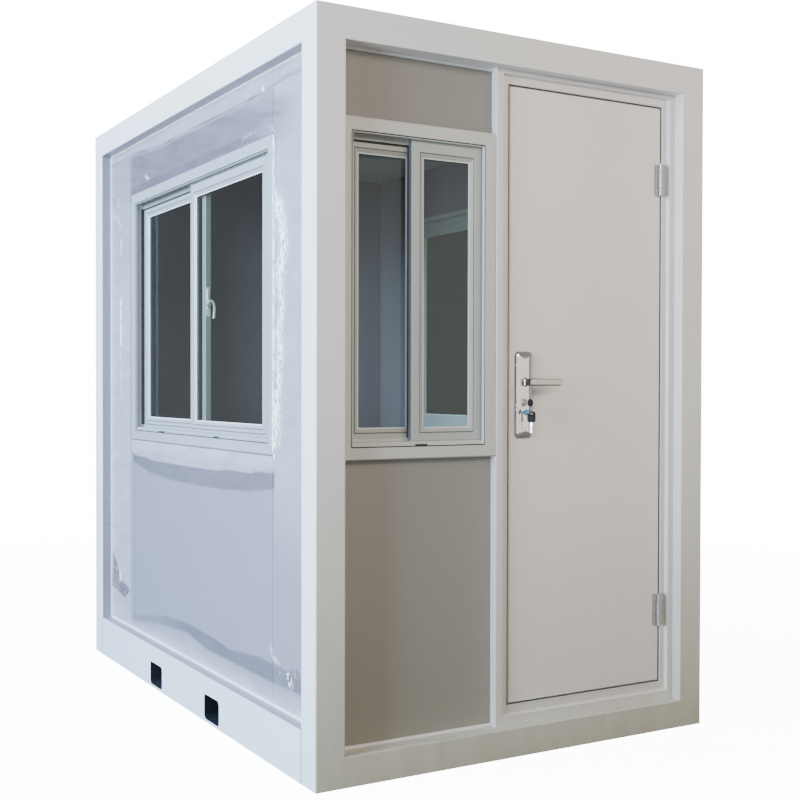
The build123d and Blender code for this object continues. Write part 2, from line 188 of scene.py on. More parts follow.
def dust_and_low_shade(f, tone, colour, grime_and_shade):
    """Darker towards the ground: a warm tone along the front, partly dust and partly painted shade of the light falling
    off downwards; a cool darkening on the left side, a painted shade.
    """
    low = f.span(f.height(), 0.0, darkening_top, 0.72, 0.0)
    across, along = (f.add("SeparateXYZ", Vector=f.place).outputs[axis] for axis in "XY")
    by_the_front = f.span(along, *front_fade, 1.0, 0.15)
    by_the_left = f.calc(f.span(across, *left_fade, 1.0, 0.0), f.span(along, *front_face_fade))
    # the left side's cool darkening of the paint's colour is painted shade
    side_shaded = tuple(c * k for c, k in zip(colour, side_painted_shade))
    streaks = f.span(f.noise(0.06, 5, (1, 1, 0.25), 0.65), 0.3, 0.75)
    # dust and painted shade together, fading out upwards
    dust = f.calc(low, f.span(streaks, 0.0, 1.0, 0.72, 1.0))
    share = f.calc(f.calc(dust, grime_and_shade), f.calc(by_the_front, by_the_left, "MAXIMUM"))
    return f.blend(share, tone, f.blend(by_the_left, front_dirt_and_shade, side_shaded))


def scuffed(f, tone, spot):
    """A ragged dark mark where something rubbed the paint."""
    away = f.add("VectorMath", operation="DISTANCE")
    f.join(f.place, away.inputs[0])
    away.inputs[1].default_value = spot
    ragged = f.calc(away.outputs["Value"], f.calc(f.noise(0.008, 4), 0.03), "ADD")
    return f.blend(f.span(ragged, 0.024, 0.032, 0.8, 0.0), tone, (0.10, 0.10, 0.11))


def paint(name, colour, roughness=0.4, peel=0.00006, peel_size=0.0022, spread=0.03, grime_and_shade=0.0, scuffs=()):
    """Sprayed paint: faint clouds, specks, orange peel, dirt and painted shade towards the ground where their share is
    above 0, and any scuffs.
    """
    f = Finish(name)
    clouds = f.span(f.noise(0.9, 4), 0.3, 0.7)
    tone = f.blend(clouds, shade(colour, 1 - spread), shade(colour, 1 + spread))
    specks = f.span(f.noise(0.012, 2), 0.62, 0.75)
    tone = f.blend(f.calc(specks, 0.25), tone, shade(colour, 0.9))
    if grime_and_shade:
        tone = dust_and_low_shade(f, tone, colour, grime_and_shade)
    for spot in scuffs:
        tone = scuffed(f, tone, spot)
    f.set("Base Color", tone)
    f.set("Roughness", f.span(f.noise(0.25, 5), 0.25, 0.75, roughness - 0.06, roughness + 0.08))
    f.bump(f.noise(peel_size, 2), peel)
    return f.material


def metal(name, colour, roughness, grain=(1, 1, 1), grain_size=0.004, depth=0.00002, plating=1.0):
    """Bare or plated metal: a fine grain, and a little dulling in patches; plating is how mirror-like it is."""
    f = Finish(name, Metallic=plating)
    patches = f.span(f.noise(0.03, 5), 0.45, 0.8)
    f.set("Base Color", f.blend(f.calc(patches, 0.4), colour, shade(colour, 0.7)))
    lines = f.noise(grain_size, 3, grain)
    f.set("Roughness", f.span(f.calc(lines, f.calc(patches, 0.4), "ADD"), 0.3, 1.1, roughness * 0.7, roughness * 1.7))
    f.bump(lines, depth)
    return f.material


def plastic(name, colour, roughness=0.45, grain=0.00003, spread=0.08, ior=1.5):
    """Moulded plastic or rubber with a fine pebbled face."""
    f = Finish(name, IOR=ior)
    f.set("Base Color", f.blend(f.noise(0.02, 4), shade(colour, 1 - spread), shade(colour, 1 + spread)))
    f.set("Roughness", f.span(f.noise(0.008, 3), 0.3, 0.7, roughness - 0.08, roughness + 0.1))
    f.bump(f.noise(0.0009, 2), grain)
    return f.material


def pane_glass(name, tint, bloom=0.003):
    """A thin clear pane: see-through glass that mirrors more at a slant, with a faint dusty bloom."""
    f = Finish(name)
    smears = f.span(f.noise(0.16, 5, (1, 1, 0.6)), 0.35, 0.8)
    outward = f.calc(1.0, f.add("NewGeometry").outputs["Backfacing"], "SUBTRACT")
    clear = f.add("BsdfTransparent", Color=f.blend(f.calc(smears, 0.5), tint, shade(tint, 0.97)))
    shine = f.add("BsdfGlossy", Color=(0.95, 0.95, 0.95, 1.0), Roughness=0.015)
    dust = f.add("BsdfDiffuse", Color=(0.70, 0.74, 0.74, 1.0))
    mirror = f.calc(f.add("Fresnel", IOR=1.5).outputs[0], outward)
    dusty = f.calc(f.span(smears, 0.0, 1.0, bloom * 0.6, bloom * 1.5), outward)
    pane = f.layered(f.layered(clear, mirror, shine), dusty, dust)
    f.join(pane.outputs[0], f.output.inputs[0])
    f.tree.nodes.remove(f.shader)
    return f.material


post_paint = paint("post_paint", (0.79, 0.785, 0.77), 0.42, grime_and_shade=1.0,
                   scuffs=((-0.775, 1.12, 2.31), (-0.775, 1.122, 0.39)))
rail_lip_paint = paint("rail_lip_paint", (0.82, 0.82, 0.82), 0.4)
reveal_paint = paint("reveal_paint", (0.27, 0.275, 0.31), 0.3)
panel_skin = paint("panel_skin", (0.205, 0.194, 0.24), 0.36, spread=0.04, grime_and_shade=0.2)
# the front panels' own warm grey, darkened further as painted shade of their recessed bay
front_panel_skin = paint("front_panel_skin", (0.265, 0.255, 0.235), 0.4, spread=0.04, grime_and_shade=0.35)
# the same panel as below it, darker still as painted shade under the top rail
upper_panel_shaded_skin = paint("upper_panel_shaded_skin", (0.235, 0.226, 0.21), 0.4, spread=0.04)
ceiling_skin = paint("ceiling_skin", (0.6, 0.6, 0.6), 0.5)
door_paint = paint("door_paint", (0.85, 0.825, 0.785), 0.38, spread=0.02, grime_and_shade=0.45)
door_frame_paint = paint("door_frame_paint", (0.73, 0.715, 0.70), 0.38, grime_and_shade=0.5)
window_coating = paint("window_coating", (0.55, 0.56, 0.53), 0.36, peel=0.00003, peel_size=0.0012)
# darker copies of the window coating as painted shade: bluish on the side windows, and on the front sashes under the
# frame's lip
side_window_shaded_coating = paint("side_window_shaded_coating", (0.335, 0.35, 0.37), 0.36, peel=0.00003, peel_size=0.0012)
sash_shaded_coating = paint("sash_shaded_coating", (0.42, 0.45, 0.43), 0.34, peel=0.00003, peel_size=0.0012)
# dark primer darkened to near black as painted shade inside the fork tubes
tube_primer_and_shade = paint("tube_primer_and_shade", (0.007, 0.009, 0.015), 0.55, spread=0.3)
roof_paint = paint("roof_paint", (0.62, 0.64, 0.66), 0.45)
floor_covering = plastic("floor_covering", (0.30, 0.30, 0.31), 0.5, spread=0.15)
skirting = plastic("skirting", (0.22, 0.22, 0.23), 0.45)
window_glass = pane_glass("window_glass", (0.86, 0.90, 0.865))
glass_seal = plastic("glass_seal", (0.74, 0.76, 0.76), 0.4)
# dark groove floors: painted shade
groove_shade = paint("groove_shade", (0.09, 0.10, 0.115), 0.5)
# the interlock's slate colour is painted shade on the sash's side face
interlock_shade = paint("interlock_shade", (0.15, 0.18, 0.21), 0.35)
joint_shadow = plastic("joint_shadow", (0.09, 0.09, 0.095), 0.7)
gasket_rubber = plastic("gasket_rubber", (0.025, 0.025, 0.027), 0.6)
# black brush pile, also used as painted shade in the window tracks and gaps
brush_pile_and_shade = plastic("brush_pile_and_shade", (0.03, 0.03, 0.032), 0.9, 0.0003, 0.4)
white_plastic = plastic("white_plastic", (0.78, 0.79, 0.8), 0.4)
hinge_steel = metal("hinge_steel", (0.44, 0.43, 0.41), 0.34, (1, 1, 0.05), 0.003, plating=0.6)
screw_steel = metal("screw_steel", (0.6, 0.6, 0.58), 0.3)
lock_chrome = metal("lock_chrome", (0.90, 0.87, 0.84), 0.13, (1, 1, 0.08), 0.003)
lever_nickel = metal("lever_nickel", (0.66, 0.58, 0.50), 0.2, (0.08, 1, 1), 0.003)
# polished chrome made dark: a painted reflection of dark surroundings
hub_dark_reflection = metal("hub_dark_reflection", (0.13, 0.12, 0.115), 0.07)
cylinder_brass = metal("cylinder_brass", (0.62, 0.55, 0.42), 0.25)
key_steel = metal("key_steel", (0.62, 0.61, 0.58), 0.25)
key_plastic = plastic("key_plastic", (0.009, 0.008, 0.009), 0.5, ior=1.22)
tag_plastic = plastic("tag_plastic", (0.02, 0.25, 0.29), 0.35)
tag_rim_plastic = plastic("tag_rim_plastic", (0.008, 0.02, 0.075), 0.35)
roof_sealant = plastic("roof_sealant", (0.35, 0.35, 0.36), 0.6)


# ---- solids, each a small mesh of its own until a piece joins them ----
def new_solid():
    """An empty solid."""
    return bmesh.new()


def closed(solid):
    """Weld a solid's doubled points and point its faces outwards."""
    bmesh.ops.remove_doubles(solid, verts=solid.verts, dist=1e-7)
    bmesh.ops.recalc_face_normals(solid, faces=solid.faces)
    return solid


def ease(solid, width, segments=2, angle=30, chosen=lambda edge: True):
    """Round the sharp edges."""
    limit = math.radians(angle)
    edges = [e for e in solid.edges if len(e.link_faces) == 2 and e.calc_face_angle(0) > limit and chosen(e)]
    if width > 0 and edges:
        bmesh.ops.bevel(solid, geom=edges, offset=width, offset_type="OFFSET", segments=segments,
                        profile=0.5, affect="EDGES", clamp_overlap=True)
    return solid


def block(low, high, width=0.001, segments=2, chosen=lambda edge: True):
    """A rectangular solid between two corners, with eased edges."""
    solid = new_solid()
    size = Vector(high) - Vector(low)
    middle = (Vector(low) + Vector(high)) / 2
    bmesh.ops.create_cube(solid, size=1.0, matrix=Matrix.Translation(middle) @ Matrix.Diagonal((*size, 1.0)))
    return ease(closed(solid), width, segments, chosen=chosen)


def stack(loops, ends=True, joined=False):
    """Faces between successive loops of the same number of points, with the ends closed or joined."""
    solid = new_solid()
    rows = [[solid.verts.new(point) for point in loop] for loop in loops]
    count = len(rows[0])
    pairs = list(zip(rows, rows[1:])) + ([(rows[-1], rows[0])] if joined else [])
    for a, b in pairs:
        for i in range(count):
            j = (i + 1) % count
            solid.faces.new((a[i], a[j], b[j], b[i]))
    if ends and not joined:
        solid.faces.new(rows[0][::-1])
        solid.faces.new(rows[-1])
    return closed(solid)


def ring(rectangles, width=0.0008, segments=2, angle=30):
    """A mitred border: each entry is (left, right, bottom, top, depth) and the entries go round its profile."""
    loops = [[(a, d, c), (b, d, c), (b, d, e), (a, d, e)] for a, b, c, e, d in rectangles]
    return ease(stack(loops, joined=True), width, segments, angle)


def band_between(outer, inner, near, far, width=0.0, segments=2):
    """A flat border between two rectangles, from one depth to another."""
    return ring([(*outer, near), (*inner, near), (*inner, far), (*outer, far)], width, segments)


def inset(rectangle, left, right=None, bottom=None, top=None):
    """A rectangle (left, right, bottom, top) drawn in by the given amounts."""
    right, bottom, top = (left if v is None else v for v in (right, bottom, top))
    return (rectangle[0] + left, rectangle[1] - right, rectangle[2] + bottom, rectangle[3] - top)


def rounded_loop(x0, x1, y0, y1, radius, steps=5):
    """The points of a rounded rectangle, anticlockwise."""
    radius = min(radius, (x1 - x0) / 2 - 1e-5, (y1 - y0) / 2 - 1e-5)
    points = []
    for cx, cy, start in ((x1 - radius, y1 - radius, 0), (x0 + radius, y1 - radius, 90),
                          (x0 + radius, y0 + radius, 180), (x1 - radius, y0 + radius, 270)):
        for k in range(steps + 1):
            turn = math.radians(start + 90 * k / steps)
            points.append((cx + radius * math.cos(turn), cy + radius * math.sin(turn)))
    return points


def lathe(profile, steps=32):
    """Turn a profile of (radius, height) points about the Z axis; it closes on the axis."""
    solid = new_solid()
    rows = []
    for radius, height in profile:
        if radius < 1e-7:
            rows.append([solid.verts.new((0, 0, height))] * steps)
        else:
            rows.append([solid.verts.new((radius * math.cos(2 * math.pi * k / steps),
                                          radius * math.sin(2 * math.pi * k / steps), height))
                         for k in range(steps)])
    for a, b in zip(rows, rows[1:]):
        for i in range(steps):
            j = (i + 1) % steps
            corners = list(dict.fromkeys((a[i], a[j], b[j], b[i])))
            if len(corners) > 2:
                solid.faces.new(corners)
    for row in (rows[0], rows[-1]):
        if row[0] is not row[1]:
            solid.faces.new(row)
    return closed(solid)


def moved(solid, matrix):
    """Turn and shift a solid."""
    solid.transform(matrix)
    return solid


def shifted(solid, x=0.0, y=0.0, z=0.0):
    """Shift a solid."""
    return moved(solid, Matrix.Translation((x, y, z)))


face_out = Matrix.Rotation(math.radians(90), 4, "X")   # stands a turned piece up to face a wall's outside


def smooth_path(points, steps=5):
    """Points along a smooth line that passes through the given ones."""
    spots = [Vector(p) for p in points]
    spots = [2 * spots[0] - spots[1]] + spots + [2 * spots[-1] - spots[-2]]
    path = []
    for a, b, c, d in zip(spots, spots[1:], spots[2:], spots[3:]):
        for t in (k / steps for k in range(steps)):
            path.append((2 * b + (c - a) * t + (2 * a - 5 * b + 4 * c - d) * t * t
                         + (3 * b - a - 3 * c + d) * t ** 3) / 2)
    return path + [spots[-2]]


def swept(path, wide, thick, side=(1, 0, 0)):
    """A flat bar along a path; side is the direction of its width, square to the path."""
    side = Vector(side)
    loops = []
    for k, point in enumerate(path):
        ahead = (path[min(k + 1, len(path) - 1)] - path[max(k - 1, 0)]).normalized()
        out = ahead.cross(side).normalized()
        loops.append([point + side * a * wide / 2 + out * b * thick / 2
                      for a, b in ((-1, -1), (1, -1), (1, 1), (-1, 1))])
    return stack(loops)


def as_mesh(solid, name="part"):
    """Turn a solid into a mesh; the solid is used up."""
    mesh = bpy.data.meshes.new(name)
    solid.to_mesh(mesh)
    solid.free()
    return mesh


def as_solid(mesh):
    """Turn a mesh into a solid; the mesh is used up."""
    solid = new_solid()
    solid.from_mesh(mesh)
    bpy.data.meshes.remove(mesh)
    return solid


def shown(mesh):
    """A scratch object of a mesh, in the scene so that modifiers are worked out."""
    made = bpy.data.objects.new("scratch", mesh)
    bpy.context.scene.collection.objects.link(made)
    return made


def discard(made):
    """Delete a scratch object with its mesh."""
    mesh = made.data
    bpy.data.objects.remove(made)
    bpy.data.meshes.remove(mesh)


def settled(made):
    """The scratch object's mesh with its modifiers applied."""
    bpy.context.view_layer.update()
    result = bpy.data.meshes.new_from_object(made.evaluated_get(bpy.context.evaluated_depsgraph_get()))
    discard(made)
    return result


def bored(solid, *cutters):
    """Cut other solids out of one."""
    body = shown(as_mesh(solid))
    tools = [shown(as_mesh(c)) for c in cutters]
    for tool in tools:
        cut = body.modifiers.new("cut", "BOOLEAN")
        cut.operation, cut.solver, cut.object = "DIFFERENCE", "EXACT", tool
    result = settled(body)
    for tool in tools:
        discard(tool)
    return as_solid(result)


def row_tree():
    """Geometry nodes that set copies of a piece in a straight row."""
    tree = bpy.data.node_groups.new("row_of_pieces", "GeometryNodeTree")
    for name, kind in (("Piece", "Object"), ("Count", "Int"), ("Start", "Vector"), ("Step", "Vector"),
                       ("Material", "Material")):
        tree.interface.new_socket(name, in_out="INPUT", socket_type="NodeSocket" + kind)
    tree.interface.new_socket("Geometry", in_out="OUTPUT", socket_type="NodeSocketGeometry")
    given, line, taken, put, real, dress, out = (
        tree.nodes.new(kind) for kind in ("NodeGroupInput", "GeometryNodeMeshLine", "GeometryNodeObjectInfo",
                                          "GeometryNodeInstanceOnPoints", "GeometryNodeRealizeInstances",
                                          "GeometryNodeSetMaterial", "NodeGroupOutput"))
    for source, target in ((given.outputs["Count"], line.inputs["Count"]),
                           (given.outputs["Start"], line.inputs["Start Location"]),
                           (given.outputs["Step"], line.inputs["Offset"]),
                           (given.outputs["Piece"], taken.inputs["Object"]),
                           (line.outputs[0], put.inputs["Points"]),
                           (taken.outputs["Geometry"], put.inputs["Instance"]),
                           (put.outputs[0], real.inputs[0]), (real.outputs[0], dress.inputs["Geometry"]),
                           (given.outputs["Material"], dress.inputs["Material"]),
                           (dress.outputs[0], out.inputs[0])):
        tree.links.new(source, target)
    return tree


row_of_pieces = row_tree()
row_inputs = {item.name: item.identifier for item in row_of_pieces.interface.items_tree
              if item.in_out == "INPUT"}


def row(solid, start, step, count, finish):
    """Copies of a solid in a straight row."""
    sample = shown(as_mesh(solid))
    holder = shown(bpy.data.meshes.new("row"))
    nodes = holder.modifiers.new("row", "NODES")
    nodes.node_group = row_of_pieces
    for name, value in (("Piece", sample), ("Count", count), ("Start", start), ("Step", step),
                        ("Material", finish)):
        nodes[row_inputs[name]] = value
    result = settled(holder)
    discard(sample)
    return as_solid(result)


wall_turns = {"front": (0, 0, -half_depth), "left": (-90, -half_width, 0),
              "right": (90, half_width, 0), "back": (180, 0, half_depth)}


def wall_place(wall):
    """From a wall's own axes (right as seen from outside, into the wall, up) to the booth's."""
    turn, x, y = wall_turns[wall]
    return Matrix.Translation((x, y, 0)) @ Matrix.Rotation(math.radians(turn), 4, "Z")


def on_wall(node, wall):
    """A node's box in the wall's axes: left, right, bottom, top, and its nearest and furthest depth."""
    back = wall_place(wall).inverted()
    a, b = (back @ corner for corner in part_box(node))
    return (min(a.x, b.x), max(a.x, b.x), a.z, b.z), min(a.y, b.y), max(a.y, b.y)


def middle_of(node):
    """The middle of a node's box."""
    return tuple((a + b) / 2 for a, b in zip(*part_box(node)))


def piece(name, parts, body="booth", wall=None, replaces=(), angle=32):
    """Join (solid, finish) pairs into one object that rides on a body."""
    whole = new_solid()
    finishes = []
    for solid, finish in parts:
        if finish not in finishes:
            finishes.append(finish)
        for face in solid.faces:
            face.material_index = finishes.index(finish)
            face.smooth = True
        mesh = as_mesh(solid)
        whole.from_mesh(mesh)
        bpy.data.meshes.remove(mesh)
    if wall:
        whole.transform(wall_place(wall))
    mesh = as_mesh(whole, name)
    for finish in finishes:
        mesh.materials.append(finish)
    mesh.set_sharp_from_angle(angle=math.radians(angle))
    made = bpy.data.objects.new(name, mesh)
    bpy.context.scene.collection.objects.link(made)
    normals = made.modifiers.new("normals", "WEIGHTED_NORMAL")
    normals.keep_sharp = True
    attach(made, body)
    if replaces:
        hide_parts(*replaces)
    return made


def cad_copy(node):
    """A merged copy of a node's mesh."""
    solid = new_solid()
    solid.from_mesh(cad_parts[node].data)
    bmesh.ops.remove_doubles(solid, verts=solid.verts, dist=2e-6)
    bmesh.ops.dissolve_limit(solid, angle_limit=math.radians(0.5), verts=solid.verts, edges=solid.edges)
    return solid


# ---- posts and rails ----
post_radius, rail_edge = 0.004, 0.0022
joint_width = 0.0018


def dress_posts():
    """Square posts with rounded corners; only their outer top edges are rounded, as the rails meet them."""
    for side_name, side in (("left", -1), ("right", 1)):
        for end_name, end in (("front", -1), ("back", 1)):
            node = f"post_{end_name}_{side_name}"
            low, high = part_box(node)
            section = rounded_loop(low.x, high.x, low.y, high.y, post_radius)
            levels = [(0.0, low.z + rail_edge)] + [
                (rail_edge * (1 - math.cos(t)), high.z - rail_edge * (1 - math.sin(t)))
                for t in (math.radians(a) for a in (0, 30, 60, 90))]
            levels = [(rail_edge * 0.6, low.z)] + levels
            loops = []
            for drawn_in, level in levels:
                edge_x, edge_y = side * (half_width - drawn_in), end * (half_depth - drawn_in)
                loops.append([(max(x, edge_x) if side < 0 else min(x, edge_x),
                               max(y, edge_y) if end < 0 else min(y, edge_y), level) for x, y in section])
            piece(node + "_tube", [(stack(loops), post_paint)], replaces=[node])


def dress_rails():
    """Rails that run into the posts' rounded corners, so their welded and ground ends show no groove."""
    for level, name in (*(("top", wall) for wall in ("front", "back", "left", "right")),
                        ("bottom", "front"), ("bottom", "back")):
        node = f"{level}_rail_{name}"
        (left, right, bottom, top), near, far = on_wall(node, name)
        bar = block((left - post_radius, near, bottom), (right + post_radius, far, top), rail_edge, 3,
                    chosen=lambda e: abs(e.verts[0].co.x - e.verts[1].co.x) > 0.1)
        piece(node + "_tube", [(bar, post_paint)], wall=name, replaces=[node])
    for name in ("left", "right"):
        node = f"bottom_rail_{name}"
        (left, right, bottom, top), _, _ = on_wall(node, name)
        bar = ease(cad_copy(node), 0.0015, 2, 50)
        seams = [block((x - joint_width / 2, -0.0004, bottom + 0.002), (x + joint_width / 2, 0.002, top), 0.0)
                 for x in (left, right)]
        parts = [(bar, post_paint)] + [(moved(seam, wall_place(name)), joint_shadow) for seam in seams]
        piece(node + "_tube", parts, replaces=[node])


def dress_fork_tubes():
    """Two tubes through the base, their dark primed insides darkened to near black as painted shade, their cut ends
    painted with the rails.
    """
    low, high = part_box("fork_tubes")
    wall, radius, height = 0.005, 0.021, high.z - low.z
    width = height * 1.5   # a tube is half as wide again as it is high
    parts = []
    for middle in (low.y + width / 2, high.y - width / 2):
        outer = rounded_loop(middle - width / 2, middle + width / 2, low.z, high.z, radius, 6)
        inner = rounded_loop(middle - width / 2 + wall, middle + width / 2 - wall, low.z + wall,
                             high.z - wall, radius - wall, 6)
        loops = [[(x, y, z) for y, z in loop] for x, loop in
                 ((low.x, outer), (high.x, outer), (high.x, inner), (low.x, inner))]
        shell = ease(stack(loops, joined=True), 0.0012, 2, 60)
        rim = shell.copy()
        for solid, keep_rim in ((shell, False), (rim, True)):
            bmesh.ops.delete(solid, context="FACES", geom=[
                f for f in solid.faces
                if (abs(abs(f.calc_center_median().x) - half_width) < 0.0025) != keep_rim])
        parts += [(shell, tube_primer_and_shade), (rim, post_paint)]
    piece("fork_tube_pair", parts, replaces=["fork_tubes"])


dress_posts()
dress_rails()
dress_fork_tubes()


# ---- wall panels, ceiling, floor and roof ----
def dress_panels():
    """Sandwich panels: their eased edges leave a fine groove where two meet."""
    for node in sorted(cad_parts):
        if node.endswith("_panel"):
            low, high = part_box(node)
            skin = front_panel_skin if node.startswith("front") else panel_skin
            # the upper front panel gets the skin darkened as painted shade
            if node == "front_wall_upper_panel":
                skin = upper_panel_shaded_skin
            piece(node + "_skin", [(block(low, high, 0.0014, 2), skin)], replaces=[node])


def dress_ceiling():
    """Ceiling boards between the rails, with two lines where the boards meet."""
    low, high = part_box("ceiling")
    third = (high.y - low.y) / 3
    boards = [(block((low.x, low.y + third * k, low.z), (high.x, low.y + third * (k + 1), high.z), 0.002),
               ceiling_skin) for k in range(3)]
    piece("ceiling_boards", boards, replaces=["ceiling"])


def dress_floor():
    """A sheet floor with a cove skirting round it."""
    low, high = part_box("floor")
    wall_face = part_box("right_wall_lower_panel")[0].x
    skirt_height, skirt_thickness = 0.07, 0.008
    inside = (-wall_face, wall_face, low.y + 0.002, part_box("back_wall_left_panel")[0].y)
    deck = block(low, high, 0.001)
    profile = [(0.0, 0.0), (0.012, 0.0), (skirt_thickness, 0.006), (skirt_thickness, skirt_height - 0.006),
               (0.002, skirt_height), (0.0, skirt_height)]
    loops = [[(inside[0] + s, inside[2] + s, high.z + z), (inside[1] - s, inside[2] + s, high.z + z),
              (inside[1] - s, inside[3] - s, high.z + z), (inside[0] + s, inside[3] - s, high.z + z)]
             for s, z in profile]
    piece("floor_deck", [(deck, floor_covering), (ease(stack(loops, joined=True), 0.001, 2, 40), skirting)],
          replaces=["floor"])


def dress_roof():
    """A ribbed roof sheet below the rails' tops, with screws along it and sealant round its edge."""
    low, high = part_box("roof_sheet")
    rib_height, rib_foot, rib_top, rib_pitch, deck_thickness = 0.022, 0.05, 0.026, 0.2, 0.012
    deck_top = low.z + deck_thickness
    deck = block(low, (high.x, high.y, deck_top), 0.001)
    rib = stack([[(-rib_foot / 2, y, 0), (rib_foot / 2, y, 0), (rib_top / 2, y, rib_height),
                  (-rib_top / 2, y, rib_height)] for y in (low.y + 0.03, high.y - 0.03)])
    ribs = row(ease(rib, 0.003, 2, 20), (low.x + 0.075, 0, deck_top), (rib_pitch, 0, 0), 7, roof_paint)
    washer = lathe([(0.0, -0.001), (0.009, -0.001), (0.009, 0.0015), (0.0065, 0.003), (0.0055, 0.003),
                    (0.0055, 0.007), (0.0045, 0.008), (0.0, 0.008)], 12)
    screws = []
    for y in (low.y + 0.08, -0.34, 0.34, high.y - 0.08):
        screws.append(row(washer.copy(), (low.x + 0.175, y, deck_top), (rib_pitch, 0, 0), 6, screw_steel))
    washer.free()
    bead = [[(low.x + s, low.y + s, deck_top + z), (high.x - s, low.y + s, deck_top + z),
             (high.x - s, high.y - s, deck_top + z), (low.x + s, high.y - s, deck_top + z)]
            for s, z in ((0.0, -0.001), (0.016, -0.001), (0.010, 0.004), (0.004, 0.010), (0.0, 0.012))]
    piece("roof_sheet_ribbed", [(deck, roof_paint), (ribs, roof_paint),
                                (stack(bead, joined=True), roof_sealant)]
          + [(s, screw_steel) for s in screws], replaces=["roof_sheet"])


dress_panels()
dress_ceiling()
dress_floor()
dress_roof()


# ---- the channels that hold the panels in their bays ----
channel_height, channel_proud = 0.009, 0.009
reveal_skin, panel_joint = 0.001, 0.0028


def dress_channels():
    """A pale lip round each wall bay; the front bay has it over, under and beside its panels."""
    for wall, node in (("left", "left_wall_front_panel"), ("right", "right_wall_front_panel"),
                       ("back", "back_wall_left_panel")):
        (_, _, bottom, top), near, _ = on_wall(node, wall)
        reach = bay_back if wall != "back" else half_width - post_size
        outer = (-reach, reach, bottom, top)
        lip = ring([(*outer, near + 0.0005), (*outer, near - channel_proud),
                    (*inset(outer, channel_height), near - channel_proud),
                    (*inset(outer, channel_height), near + 0.0005)], 0.0015, 3)
        reveal = band_between(outer, inset(outer, reveal_skin), 0.0035, near - channel_proud)
        parts = [(lip, rail_lip_paint), (reveal, reveal_paint)]
        seams = (0.0,) if wall == "back" else (-0.71, 0.71)
        parts += [(block((x - panel_joint / 2, near - 0.0005, bottom + channel_height),
                         (x + panel_joint / 2, near + 0.001, top - channel_height), 0.0), joint_shadow)
                  for x in seams]
        piece(f"{wall}_bay_channel", parts, wall=wall)
    (left, right, bottom, _), near, _ = on_wall("front_wall_lower_panel", "front")
    top = on_wall("front_wall_upper_panel", "front")[0][3]
    sill = on_wall("front_window_frame", "front")[0][2]
    strips = [(block((a, near - channel_proud, c), (b, near + 0.0005, e), 0.0015, 3), rail_lip_paint)
              for a, b, c, e in ((left, right, bottom, bottom + channel_height),
                                 (left, right, top - channel_height, top),
                                 (left, left + channel_height, bottom + channel_height, sill))]
    piece("front_bay_channel", strips, wall="front")


dress_channels()

# ---- windows ----
window_face, window_sill_face, window_lip, window_lap = 0.048, 0.044, 0.012, 0.02
window_seat, window_sill_seat = 0.04, 0.054
head_rib, sill_rib, rib_thickness, latch_lift = 0.022, 0.01, 0.004, 0.016
sash_stile, meeting_stile, sash_top_rail, sash_bottom_rail = 0.05, 0.045, 0.059, 0.041
sash_thickness, bead_width, glass_depth = 0.022, 0.012, 0.008
groove_width, groove_depth, side_edge_groove = 0.0036, 0.0026, 0.010
front_body_depth, side_body_depth = 0.028, 0.008   # how far in from its face a window's frame narrows to its body

drain_places = {"front": ((-0.404, -0.360),), "left": ((-0.383, -0.317), (0.209, 0.257)),
                "right": ((-0.257, -0.209), (0.317, 0.383))}


def sash(outer, left_stile, right_stile, near, edge_groove):
    """One sash: a mitred border with a grooved outer face and a sloped bead down to its glass."""
    glass = inset(outer, left_stile, right_stile, sash_bottom_rail, sash_top_rail)
    far = near + sash_thickness
    groove = inset(glass, -bead_width - groove_width)
    edge_lines = [(*inset(outer, edge_groove + d), near + depth) for d, depth in (
        (0.0, 0.0), (0.0005, groove_depth), (groove_width - 0.0005, groove_depth), (groove_width, 0.0))
        ] if edge_groove else []
    return ring([
        (*outer, near + 0.0015), (*inset(outer, 0.003), near), *edge_lines, (*groove, near),
        (*inset(groove, 0.0006), near + groove_depth), (*inset(glass, -bead_width - 0.0006), near + groove_depth),
        (*inset(glass, -bead_width), near + 0.0003),
        (*inset(glass, -0.002), near + glass_depth - 0.003), (*glass, near + glass_depth - 0.001),
        (*glass, far - glass_depth + 0.001), (*inset(glass, -bead_width), far), (*outer, far)], 0.0005, 2, 20), glass


def groove_floors(outer, glass, near, edge_groove):
    """The floors of a sash's two grooves, made dark as painted shade."""
    first = inset(outer, edge_groove + 0.0006), inset(outer, edge_groove + groove_width - 0.0006)
    second = inset(glass, -bead_width - groove_width + 0.0006), inset(glass, -bead_width - 0.0006)
    top, low = near + groove_depth - 0.0009, near + groove_depth + 0.0004
    return [(band_between(a, b, top, low), groove_shade)
            for a, b in ((first, second) if edge_groove else (second,))]


def gasket(glass, near):
    """The pale line of sealing strip between bead and glass."""
    return ring([(*inset(glass, -0.001), near - 0.002), (*inset(glass, 0.003), near - 0.0016),
                 (*inset(glass, 0.003), near + 0.0005), (*inset(glass, -0.001), near + 0.0005)], 0.0003, 1)


